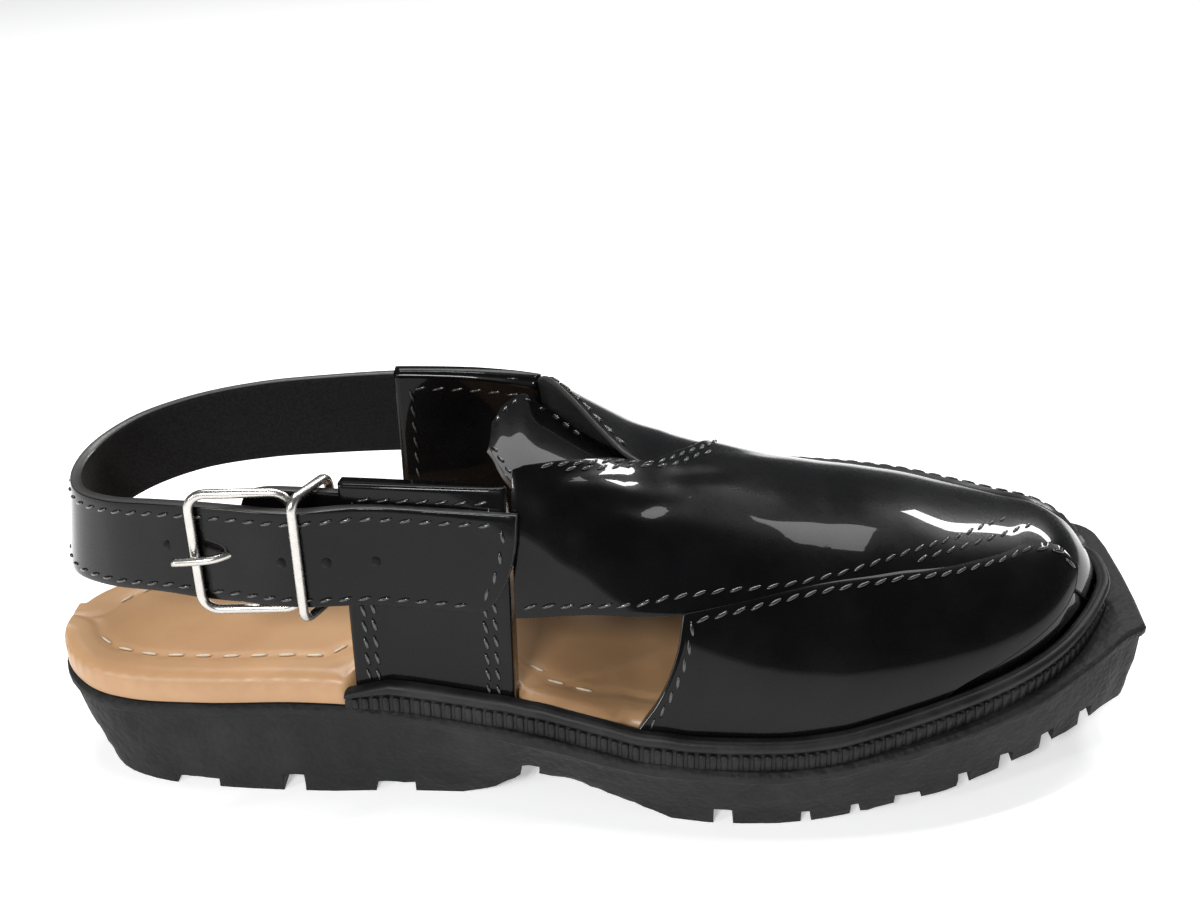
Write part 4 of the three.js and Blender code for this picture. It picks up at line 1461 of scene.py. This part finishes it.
        self.shop.piece("upper_seams", thread, (Cloth.BLACK.value,), "upper", "upper_leather")


@dataclass
class Tongue:
    """The sheet under the throat."""

    shop: Workshop
    thickness: float = 1.8
    rows: Sequence[Sequence[float]] = (
        # at, outer, inner, outerUp, middleUp, innerUp
        (0.405, -0.07, 0.14, 1.535, 1.55, 1.57), (0.415, -0.2, 0.3, 1.5, 1.56, 1.6),
        (0.43, -0.31, 0.42, 1.44, 1.55, 1.6), (0.45, -0.4, 0.42, 1.38, 1.52, 1.53),
        (0.48, -0.44, 0.24, 1.37, 1.485, 1.49), (0.51, -0.45, 0.1, 1.4, 1.465, 1.46),
        (0.54, -0.44, 0.03, 1.375, 1.43, 1.43), (0.58, -0.4, 0.1, 1.318, 1.378, 1.378),
    )

    def patch(self) -> Patch:
        """Gives the tongue's top as a sheet.

        Returns:
            The sheet.
        """
        outer, inner, outer_up, middle_up, inner_up = columns(self.rows)
        first, end = self.rows[0][0], self.rows[-1][0]

        def base(u: float, v: float) -> np.ndarray:
            """Gives the point without an offset."""
            at = first + (end - first) * min(max(u, 0), 1) ** 1.5
            share = min(max(v, 0), 1)
            across = outer(at) + (inner(at) - outer(at)) * share
            chord = outer_up(at) + (inner_up(at) - outer_up(at)) * share
            bow = middle_up(at) - (outer_up(at) + inner_up(at)) / 2
            up = chord + bow * (1 - (2 * share - 1) ** 2)
            return np.array([at * SOLE_LENGTH, across * HALF_WIDTH, up * INSTEP_RISE])

        def surface(u: float, v: float, offset: float) -> np.ndarray:
            """Gives the point at an offset."""
            ahead = base(u + 0.02, v) - base(max(u, 0.02) - 0.02, v)
            across = base(u, v + 0.02) - base(u, v - 0.02)
            return base(u, v) + unit(np.cross(ahead, across)) * offset

        return Patch(surface, 44, 36)

    def build(self) -> None:
        """Makes the tongue and its seam."""
        patch = self.patch()
        self.shop.piece(
            "tongue_sheet", patch.shell(self.thickness, FELT_FACE, CUT_RIM, 0.3),
            SHEET_FINISHES, "tongue", "upper_leather",
        )
        thread = bmesh.new()
        seam = Seam(pitch=4.2, length=3.0)
        seam.sew(thread, *patch.row("v0", 3.2, 0.06, 0.75))
        seam.sew(thread, *patch.row("v1", 3.2, 0.06, 0.6))
        self.shop.piece("tongue_seam", thread, (Cloth.BLACK.value,), "tongue", "upper_leather")


@dataclass
class Band:
    """A strap of leather through table rows: at, side or across, away, top, width share, lean."""

    last: Last
    rows: Sequence[Sequence[float]]
    width: float
    thickness: float

    STEPS = 500

    def line(self, drop: float) -> Spline:
        """Gives the line through the middle of the thickness.

        Args:
            drop: how far down the width it lies, from 0 to 1.

        Returns:
            The line in shoe millimetres.
        """
        points = []
        for at, side, across, top, width, lean in self.rows:
            along = (at - lean * drop) * SOLE_LENGTH
            height = top * INSTEP_RISE - width * self.width * drop
            if side:
                share = self.last.share_at_height(along, height, int(side))
                across_mm = float(self.last.base(along, share)[1]) + side * across
            else:
                across_mm = across * HALF_WIDTH
            points.append((along, across_mm, height))
        return Spline(points)

    def patch(self, end_cut: Callable[[float], float], us: int, vs: int) -> Patch:
        """Gives the outer face as a sheet; v runs from the lower edge to the top one.

        Args:
            end_cut: how far the band reaches along, over v.
            us: faces along.
            vs: faces across.

        Returns:
            The sheet.
        """
        steps = self.STEPS
        splines = [self.line(drop) for drop in (0, 0.5, 1)]
        places = (step / steps for step in range(steps + 1))
        table = np.array([[spline(place) for spline in splines] for place in places])

        def middle(u: float, v: float) -> np.ndarray:
            """Gives the point in the middle of the thickness."""
            step = min(int(u * steps), steps - 1)
            top, half, low = table[step] + (table[step + 1] - table[step]) * (u * steps - step)
            return top * v * (2 * v - 1) + half * 4 * v * (1 - v) + low * (1 - v) * (1 - 2 * v)

        def surface(u: float, v: float, offset: float) -> np.ndarray:
            """Gives the point on the outer face."""
            place = u * end_cut(v)
            ahead = middle(min(place + 0.004, 1), v) - middle(max(place - 0.004, 0), v)
            up = middle(place, min(v + 0.02, 1)) - middle(place, max(v - 0.02, 0))
            normal = unit(np.cross(ahead, up))
            return middle(place, v) + normal * (self.thickness / 2 + offset)

        return Patch(surface, us, vs)


STRAP_ROWS = (
    # at, side, away or across, top, width, lean
    (0.424, 1, -2.6, 1.625, 0.91, 0), (0.37, 1, -2.6, 1.625, 0.91, 0),
    (0.31, 1, -2.6, 1.625, 0.9, 0), (0.24, 0, 0.655, 1.605, 0.88, 0),
    (0.177, 0, 0.635, 1.58, 0.86, 0),
    (0.115, 0, 0.575, 1.535, 0.84, 0.003), (0.066, 0, 0.455, 1.48, 0.87, 0.008),
    (0.038, 0, 0.25, 1.43, 0.91, 0.013), (0.033, 0, 0, 1.405, 0.94, 0.014),
    (0.046, 0, -0.2, 1.4, 0.94, 0.013), (0.079, 0, -0.36, 1.425, 0.95, 0.009),
    (0.13, 0, -0.483, 1.465, 0.965, 0.004), (0.163, 0, -0.545, 1.483, 1, 0),
    (0.2, 0, -0.61, 1.497, 1, 0),
    (0.25, 0, -0.682, 1.51, 1, 0), (0.31, -1, 2.0, 1.515, 1, 0), (0.37, -1, 2.0, 1.512, 0.99, 0),
    (0.437, -1, 2.0, 1.5, 0.97, 0),
)
CHAPE_ROWS = (
    # at, side, away or across, top, width, lean
    (0.203, 0, -0.527, 1.45, 0.6, 0), (0.209, 0, -0.527, 1.52, 0.9, 0),
    (0.222, 0, -0.527, 1.545, 1, 0),
    (0.255, 0, -0.53, 1.545, 1, 0), (0.3, -1, -2.6, 1.54, 0.98, 0), (0.36, -1, -2.6, 1.54, 0.98, 0),
)


@dataclass
class HeelStrap:
    """The strap round the heel with painted shade for its holes, and the short strap behind the
    buckle.
    """

    last: Last
    shop: Workshop
    holes: Sequence[float] = (0.137, 0.24, 0.277, 0.318)
    hole_height: float = BUCKLE_MIDDLE
    hole_radius: float = 1.35
    end_rows: Sequence[tuple[float, float]] = (
        # share of the width, how far the strap's cut end reaches
        (0, 0.972), (0.07, 0.979), (0.2, 0.986), (0.51, 0.9956), (0.75, 0.999), (1, 1.0),
    )
    seam: Seam = field(default_factory=lambda: Seam(pitch=4.9, length=3.7))

    def build(self) -> None:
        """Makes both straps and their seams."""
        band = Band(self.last, STRAP_ROWS, STRAP_WIDTH, STRAP_THICKNESS)
        strap = band.patch(Column(self.end_rows), 200, 14)
        self.shop.piece(
            "heel_strap_band", strap.shell(STRAP_THICKNESS, FELT_FACE, CUT_RIM, 0.35),
            SHEET_FINISHES, "heel_strap", "strap_leather",
        )
        thread = bmesh.new()
        for edge in ("v1", "v0"):
            self.seam.sew(thread, *strap.row(edge, 3.0, 0.0, 0.985, steps=240))
        self.seam.sew(thread, *strap.row("u1", 3.2, 0.12, 0.9))
        black = (Cloth.BLACK.value,)
        self.shop.piece("heel_strap_seams", thread, black, "heel_strap", "strap_leather")
        backing = Band(self.last, CHAPE_ROWS, CHAPE_WIDTH, CHAPE_THICKNESS)
        chape = backing.patch(lambda v: 1.0, 60, 14)
        self.shop.piece(
            "buckle_backing", chape.shell(CHAPE_THICKNESS, FELT_FACE, CUT_RIM, 0.35),
            SHEET_FINISHES, "buckle_chape", "strap_leather",
        )
        self._paint_hole_shade()

    def _paint_hole_shade(self) -> None:
        """Adds dark discs on the strap's face as painted shade for its holes, which aren't cut
        through.
        """
        bm = bmesh.new()
        for at in self.holes:
            along = at * SOLE_LENGTH
            spot = self._outer_spot(along)
            turn = Matrix.Rotation(math.pi / 2, 4, "X")
            bmesh.ops.create_cone(
                bm, cap_ends=True, segments=20, radius1=self.hole_radius / 1000,
                radius2=self.hole_radius / 1000, depth=0.0004,
                matrix=Matrix.Translation(metres(spot)) @ turn,
            )
        # the dark felt finish on these discs is painted shade inside the holes
        self.shop.piece("strap_hole_painted_shade", bm, ("felt_lining",), "heel_strap", "strap_leather")

    def _outer_spot(self, along: float) -> np.ndarray:
        """Finds the strap's outer face on the outer side at a place along the shoe.

        Args:
            along: place along the shoe in millimetres.

        Returns:
            The point at the holes' height.
        """
        line = Band(self.last, STRAP_ROWS, STRAP_WIDTH, STRAP_THICKNESS).line(0.5)
        outer = [line(0.5 + 0.5 * step / 200) for step in range(201)]
        rows = sorted((point[0], point[1]) for point in outer if point[1] < -5)
        across = float(np.interp(along, [row[0] for row in rows], [row[1] for row in rows]))
        return np.array([along, across - STRAP_THICKNESS / 2, self.hole_height])


@dataclass
class Buckle:
    """Wire frame, prong and keeper."""

    shop: Workshop
    wire: float = 1.25
    middle: float = BUCKLE_MIDDLE
    pivot: tuple[float, float] = (74.4, -30.58)
    rest: tuple[float, float] = (48.9, -31.43)
    frame_height: float = 36.0
    keeper: tuple[tuple[float, float], tuple[float, float]] = ((76.5, -38.58), (83.1, -24.7))
    keeper_height: float = 36.8
    keeper_middle: float = 1.29 * INSTEP_RISE
    frame_corner: float = 4.5
    keeper_corner: float = 3.0
    prong_radius: float = 1.1
    prong: Sequence[tuple[float, float, float]] = (
        # x, y, how far under the buckle's middle
        (72.45, -30.7, 0), (63, -30.16, 0), (59.7, -30.5, 0), (56.1, -33.1, 0.2),
        (53.7, -34.1, 0.4), (48.6, -34.35, 0.8), (43.8, -34.1, 1.2),
    )

    def loop(self, name: str, node: str, rear: Sequence[float], front: Sequence[float],
             height: float, middle: float, corner: float) -> None:
        """Makes an upright wire loop between two bars.

        Args:
            name: the piece's name.
            node: the CAD node it stands for.
            rear: x and y of its rear bar.
            front: x and y of its front bar.
            height: how tall it is outside.
            middle: height of its middle over the floor.
            corner: radius of its corners.
        """
        start, end = np.array([*rear, middle]), np.array([*front, middle])
        ahead = unit(end - start)
        reach = float(np.linalg.norm(end - start)) / 2 - corner
        climb = height / 2 - self.wire - corner
        centre = (start + end) / 2
        points = []
        for quarter, (along, up) in enumerate(((1, 1), (-1, 1), (-1, -1), (1, -1))):
            for step in range(7):
                angle = math.pi / 2 * (quarter + step / 6)
                spot = centre + ahead * (along * reach + corner * math.cos(angle))
                points.append(spot + np.array([0, 0, up * climb + corner * math.sin(angle)]))
        self.tube(name, node, points, self.wire, True)

    def tube(self, name: str, node: str, points: Sequence[np.ndarray], radius: float,
             closed: bool) -> None:
        """Makes a round wire through points.

        Args:
            name: the piece's name.
            node: the CAD node it stands for.
            points: the wire's line in shoe millimetres.
            radius: half its thickness.
            closed: whether it runs back to its start.
        """
        curve = bpy.data.curves.new(name, "CURVE")
        curve.dimensions = "3D"
        curve.bevel_depth = radius / 1000
        curve.bevel_resolution = 4
        curve.use_fill_caps = not closed
        spline = curve.splines.new("POLY")
        spline.points.add(len(points) - 1)
        for knot, point in zip(spline.points, points):
            knot.co = (*metres(point), 1)
        spline.use_cyclic_u = closed
        made = bpy.data.objects.new(name + "_line", curve)
        bpy.context.scene.collection.objects.link(made)
        bpy.context.view_layer.update()
        evaluated = made.evaluated_get(bpy.context.evaluated_depsgraph_get())
        bm = bmesh.new()
        bm.from_mesh(evaluated.to_mesh())
        bmesh.ops.remove_doubles(bm, verts=bm.verts[:], dist=1e-6)
        bpy.data.objects.remove(made)
        self.shop.piece(name, bm, ("satin_nickel",), node, "buckle_metal")

    def build(self) -> None:
        """Makes the three pieces of wire."""
        self.loop(
            "buckle_wire", "buckle_frame", self.rest, self.pivot,
            self.frame_height, self.middle, self.frame_corner,
        )
        self.loop(
            "keeper_wire", "keeper_loop", *self.keeper,
            self.keeper_height, self.keeper_middle, self.keeper_corner,
        )
        path = Spline((x, y, self.middle - drop) for x, y, drop in self.prong)
        points = [path(step / 30) for step in range(31)]
        self.tube("buckle_pin", "buckle_prong", points, self.prong_radius, False)


@dataclass
class Insole:
    """The padded tan footbed with its cream seam."""

    last: Last
    shop: Workshop
    thickness: float = 8.5
    inset: float = 1.6
    roll: float = 4.2
    seam_inset: float = 9.5
    back_in: Sequence[tuple[float, float]] = (
        # at, how far inside the form's foot
        (0.284, 1.2), (0.289, 5.6), (0.429, 5.6), (0.433, 0.5), (0.513, 0.5), (0.518, 3.7),
        (0.95, 3.7),
    )

    def edge(self, along: float, side: int) -> float:
        """Gives the footbed's edge on one side.

        Args:
            along: place along the shoe in millimetres.
            side: -1 for the outer side, +1 for the inner one.

        Returns:
            The place across the shoe.
        """
        sole = self.last.sole
        at = along / SOLE_LENGTH
        rim = sole.edge(along, side) - side * self.inset
        if at < 0.284:
            return rim
        outer, inner = self.last.columns[0](at), self.last.columns[1](at)
        foot = (-outer if side < 0 else inner) * HALF_WIDTH
        places, insets = zip(*self.back_in)
        held = float(np.interp(at, places, insets))
        inside = foot - side * held
        return max(rim, inside) if side < 0 else min(rim, inside)

    def build(self) -> None:
        """Makes the footbed and its stitches."""
        sole = self.last.sole
        first, end = self.inset, 0.945 * SOLE_LENGTH
        outline = []

        def place(u: float) -> float:
            """Gives the place along the shoe, with close rows at both ends."""
            return first + (end - first) * (1 - math.cos(math.pi * u)) / 2

        for side in (-1, 1):
            samples = [place(step / 240) for step in range(241)]
            outline.append(np.array([(along, self.edge(along, side)) for along in samples]))
        rim = np.concatenate([outline[0], outline[1][::-1]])

        def surface(u: float, v: float, offset: float) -> np.ndarray:
            """Gives the footbed's top."""
            along = place(u)
            low, high = self.edge(along, -1), self.edge(along, 1)
            across = low + (high - low) * v
            gap = float(np.min(np.linalg.norm(rim - np.array([along, across]), axis=1)))
            round_off = max(0.0, 1 - gap / self.roll)
            height = sole.seat(along) + CLEARANCE + self.thickness
            height -= (1 - math.sqrt(max(0.0, 1 - round_off ** 2))) * self.roll * 0.9
            groove = math.exp(-(((gap - self.seam_inset) / 1.3) ** 2)) * 0.55
            dish = 0.8 * math.exp(-((along - 48) / 40) ** 2) * min(1.0, max(0.0, gap - 10) / 14)
            return np.array([along, across, height - groove - dish + offset])

        patch = Patch(surface, 190, 60)
        bm = patch.mesh()
        bmesh.ops.remove_doubles(bm, verts=bm.verts[:], dist=1e-6)
        border = [edge for edge in bm.edges if edge.is_boundary]
        walls = bmesh.ops.extrude_edge_only(bm, edges=border)
        for vert in (item for item in walls["geom"] if isinstance(item, bmesh.types.BMVert)):
            along = vert.co.x * 1000 + SOLE_LENGTH / 2
            vert.co.z = (sole.seat(along) + CLEARANCE) / 1000
        bmesh.ops.recalc_face_normals(bm, faces=bm.faces[:])
        self.shop.piece("footbed", bm, ("insole_leather",), "insole", "insole_leather")
        thread = bmesh.new()
        seam = Seam(pitch=7.4, length=5.0, width=0.8, height=0.7, slant=4)
        for side in (-1, 1):
            points = []
            for step in range(120):
                along = 11.5 + (150 - 11.5) * (step / 119) ** 1.6
                top = sole.seat(along) + CLEARANCE + self.thickness - 0.2
                points.append(np.array([along, self._seam_across(rim, along, side), top]))
            seam.sew(thread, points, [np.array([0, 0, 1.0])] * len(points))
        self.shop.piece("footbed_seam", thread, (Cloth.CREAM.value,), "insole", "insole_leather")

    def _seam_across(self, rim: np.ndarray, along: float, side: int) -> float:
        """Finds where the seam crosses, at its distance inside the footbed's rim.

        Args:
            rim: points of the footbed's outline.
            along: place along the shoe in millimetres.
            side: -1 for the outer side, +1 for the inner one.

        Returns:
            The place across the shoe.
        """
        edge = self.edge(along, side)
        for step in range(160):
            across = edge - side * step * 0.25
            gap = float(np.min(np.linalg.norm(rim - np.array([along, across]), axis=1)))
            if gap >= self.seam_inset or across * side < 0:
                return across
        return edge


@dataclass
class Welt:
    """The round bead over a ribbed band."""

    last: Last
    shop: Workshop
    width: float = 3.4
    bead: float = 3.8
    rib_height: float = 4.4
    pitch: float = 2.75
    rib_round: float = 0.00032

    def build(self) -> None:
        """Makes the bead, the band and the ribs."""
        rows = [row for row in FORM_ROWS if row[0] >= 0.28]
        outer = [(row[0] * SOLE_LENGTH, -row[1] * HALF_WIDTH) for row in rows]
        inner = [(row[0] * SOLE_LENGTH, row[2] * HALF_WIDTH) for row in reversed(rows)]
        line = line_through([*outer, *inner])
        fine = np.array([line(step / 1200) for step in range(1201)])
        length = float(reach_along(fine)[-1])

        def surface(u: float, v: float, offset: float) -> np.ndarray:
            """Gives the welt's point: v runs from the foot of the ribs over the bead."""
            spot, ahead = line(u), line(min(u + 0.002, 1)) - line(max(u - 0.002, 0))
            out = unit(np.array([ahead[1], -ahead[0]]))
            fade = min(1.0, min(u, 1 - u) * length / 12)
            if v < 0.3:
                away, up = self.width - 0.9, self.rib_height * v / 0.3
            else:
                angle = math.pi * ((v - 0.3) / 0.7 * 1.15 - 0.45)
                away = self.width - 0.35 - self.bead * 0.5 + math.cos(angle) * self.bead * 0.5
                up = self.rib_height + self.bead / 2 + math.sin(angle) * self.bead / 2
            reach = spot + out * (CLEARANCE + away + offset)
            height = self.last.sole.seat(reach[0]) + CLEARANCE + up * (0.55 + 0.45 * fade)
            return np.array([reach[0], reach[1], height])

        bead = Patch(surface, 420, 20).shell(0.8, 0, 0, 0.1)
        self.shop.piece("welt_bead", bead, ("welt_rubber",), "welt", "welt_rubber")
        ribs = bmesh.new()
        count = int(length / self.pitch)
        for rib in range(1, count):
            u = rib / count
            spot, ahead = line(u), line(min(u + 0.001, 1)) - line(max(u - 0.001, 0))
            out = unit(np.array([ahead[1], -ahead[0]]))
            fade = 0.55 + 0.45 * min(1.0, min(u, 1 - u) * length / 12)
            middle = spot + out * (CLEARANCE + self.width - 0.9)
            tall = self.rib_height * fade
            base = self.last.sole.seat(middle[0]) + CLEARANCE
            axes = Matrix(((*unit(ahead), 0), (*out, 0), (0, 0, 1))).transposed().to_4x4()
            scale = Matrix.Diagonal((self.pitch * 0.68 / 1000, 0.001, tall / 1000, 1))
            place = Matrix.Translation(metres((middle[0], middle[1], base + tall / 2)))
            bmesh.ops.create_cube(ribs, size=1, matrix=place @ axes @ scale)
        round_edges(ribs, ribs.edges[:], self.rib_round, 1, False)
        self.shop.piece("welt_ribs", ribs, ("welt_rubber",), "welt", "welt_rubber")


@dataclass
class Studio:
    """Camera, pale floor and soft lights."""

    azimuth: float = 1.652
    elevation: float = 26.643
    roll: float = -1.092
    distance: float = 0.39987
    target: tuple[float, float, float] = (0.000525, 0.002, 0.085068)
    lens: float = 45.0

    LIGHTS = (
        # name, place, aim, size, energy
        ("top_box", (0.05, 0.5, 1.1), (0.02, 0, 0), (1.1, 0.42), 11.0),
        ("top_strip", (-0.05, 0.1, 1.2), (0, 0, 0), (0.5, 0.03), 3.0),
        ("front_box", (-0.3, -1.0, 0.75), (0, 0, 0.03), (0.24, 0.24), 9.5),
        ("side_strip", (-1.0, -0.75, 0.5), (0, 0, 0.05), (0.1, 0.5), 4.5),
        ("rear_strip", (0.75, 0.8, 0.75), (0.05, 0, 0.05), (0.4, 0.1), 5.0),
    )

    def camera(self) -> None:
        """Sets the camera at the photograph's angle."""
        az, el, roll = (math.radians(angle) for angle in (self.azimuth, self.elevation, self.roll))
        back = Vector((math.sin(az) * math.cos(el), -math.cos(az) * math.cos(el), math.sin(el)))
        right = (-back).cross(Vector((0, 0, 1))).normalized()
        up = right.cross(-back)
        turned_right = right * math.cos(roll) + up * math.sin(roll)
        turned_up = up * math.cos(roll) - right * math.sin(roll)
        data = bpy.data.cameras.new("camera")
        data.lens = self.lens
        data.sensor_width = 36.0
        data.clip_start = 0.01
        made = bpy.data.objects.new("camera", data)
        axes = Matrix((turned_right, turned_up, back)).transposed().to_4x4()
        made.matrix_world = Matrix.Translation(Vector(self.target) + back * self.distance) @ axes
        bpy.context.scene.collection.objects.link(made)
        bpy.context.scene.camera = made

    def floor(self) -> None:
        """Lays the floor, which isn't part of the object."""
        bm = bmesh.new()
        bmesh.ops.create_grid(bm, x_segments=2, y_segments=2, size=6.0)
        mesh = bpy.data.meshes.new("floor")
        bm.to_mesh(mesh)
        bm.free()
        made = bpy.data.objects.new("floor", mesh)
        bpy.context.scene.collection.objects.link(made)
        shader = Shader("floor_paper")
        shader.set(
            Base_Color=(0.9, 0.9, 0.9), Roughness=0.8, Specular_IOR_Level=0.1,
            Emission_Color=(1, 1, 1), Emission_Strength=0.42,
        )
        mesh.materials.append(shader.material)

    def light(self, name: str, place: Sequence[float], aim: Sequence[float],
              size: tuple[float, float], energy: float) -> None:
        """Adds a soft rectangular light.

        Args:
            name: the light's name.
            place: where it stands, in metres.
            aim: what it points at.
            size: its width and height in metres.
            energy: its power in watts.
        """
        data = bpy.data.lights.new(name, "AREA")
        data.shape = "RECTANGLE"
        data.size, data.size_y = size
        data.energy = energy
        made = bpy.data.objects.new(name, data)
        way = Vector(aim) - Vector(place)
        made.location = place
        made.rotation_euler = way.to_track_quat("-Z", "Y").to_euler()
        bpy.context.scene.collection.objects.link(made)

    def build(self) -> None:
        """Sets the whole stage."""
        self.camera()
        self.floor()
        for light in self.LIGHTS:
            self.light(*light)
        world = bpy.data.worlds.new("studio")
        bpy.context.scene.world = world
        world.use_nodes = True
        background = world.node_tree.nodes["Background"]
        background.inputs[0].default_value = (0.95, 0.97, 1.0, 1)
        background.inputs[1].default_value = 0.12
        bpy.context.scene.view_settings.view_transform = "Standard"


@dataclass
class Outsole:
    """The CAD outsole's own shape with rounded, rugged rubber faces."""

    sole: Sole
    shop: Workshop
    corner: float = 0.0005
    longest: float = 0.004
    sharp_angle: float = 40.0
    smooth_angle: float = 32.0
    waves: Sequence[tuple[float, float]] = ((110.0, 0.00055), (330.0, 0.00035))

    def rough(self, vert: bmesh.types.BMVert) -> float:
        """Gives how far a corner moves out, none on the floor and under the welt and insole.

        Args:
            vert: the corner.

        Returns:
            The distance in metres.
        """
        along = vert.co.x * 1000 + SOLE_LENGTH / 2
        below = self.sole.seat(along) / 1000 - vert.co.z
        under_top = min(1.0, max(0.0, (below - 0.0012) / 0.003))
        over_floor = min(1.0, max(0.0, (vert.co.z - 0.0006) / 0.002))
        waves = sum(noise.noise(vert.co * scale) * depth for scale, depth in self.waves)
        return under_top * over_floor * waves

    def build(self) -> None:
        """Makes the outsole."""
        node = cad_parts["outsole"]
        bm = bmesh.new()
        bm.from_mesh(node.data)
        bm.transform(node.matrix_world)
        bmesh.ops.remove_doubles(bm, verts=bm.verts[:], dist=1e-5)
        bend = math.radians(self.sharp_angle)
        sharp = [edge for edge in bm.edges if edge.is_manifold and edge.calc_face_angle() > bend]
        round_edges(bm, sharp, self.corner, 1, True)
        for _ in range(4):
            long_edges = [edge for edge in bm.edges if edge.calc_length() > self.longest]
            bmesh.ops.subdivide_edges(bm, edges=long_edges, cuts=1)
            bmesh.ops.triangulate(bm, faces=bm.faces[:])
        bm.normal_update()
        moves = [(vert, vert.normal * self.rough(vert)) for vert in bm.verts]
        for vert, move in moves:
            vert.co += move
        soft = math.radians(self.smooth_angle)
        for edge in bm.edges:
            edge.smooth = not edge.is_manifold or edge.calc_face_angle() < soft
        self.shop.piece("rubber_sole", bm, ("sole_rubber",), "outsole", "outsole_rubber")


def main() -> None:
    """Builds the stage, then each sub-assembly."""
    logging.basicConfig(level=logging.INFO, format="%(name)s %(message)s")
    Studio().build()
    sole = Sole()
    last = Last(sole)
    shop = Workshop()
    Outsole(sole, shop).build()
    Welt(last, shop).build()
    Insole(last, shop).build()
    Upper(last, shop).build()
    Tongue(shop).build()
    HeelStrap(last, shop).build()
    Buckle(shop).build()


if __name__ == "__main__":
    main()
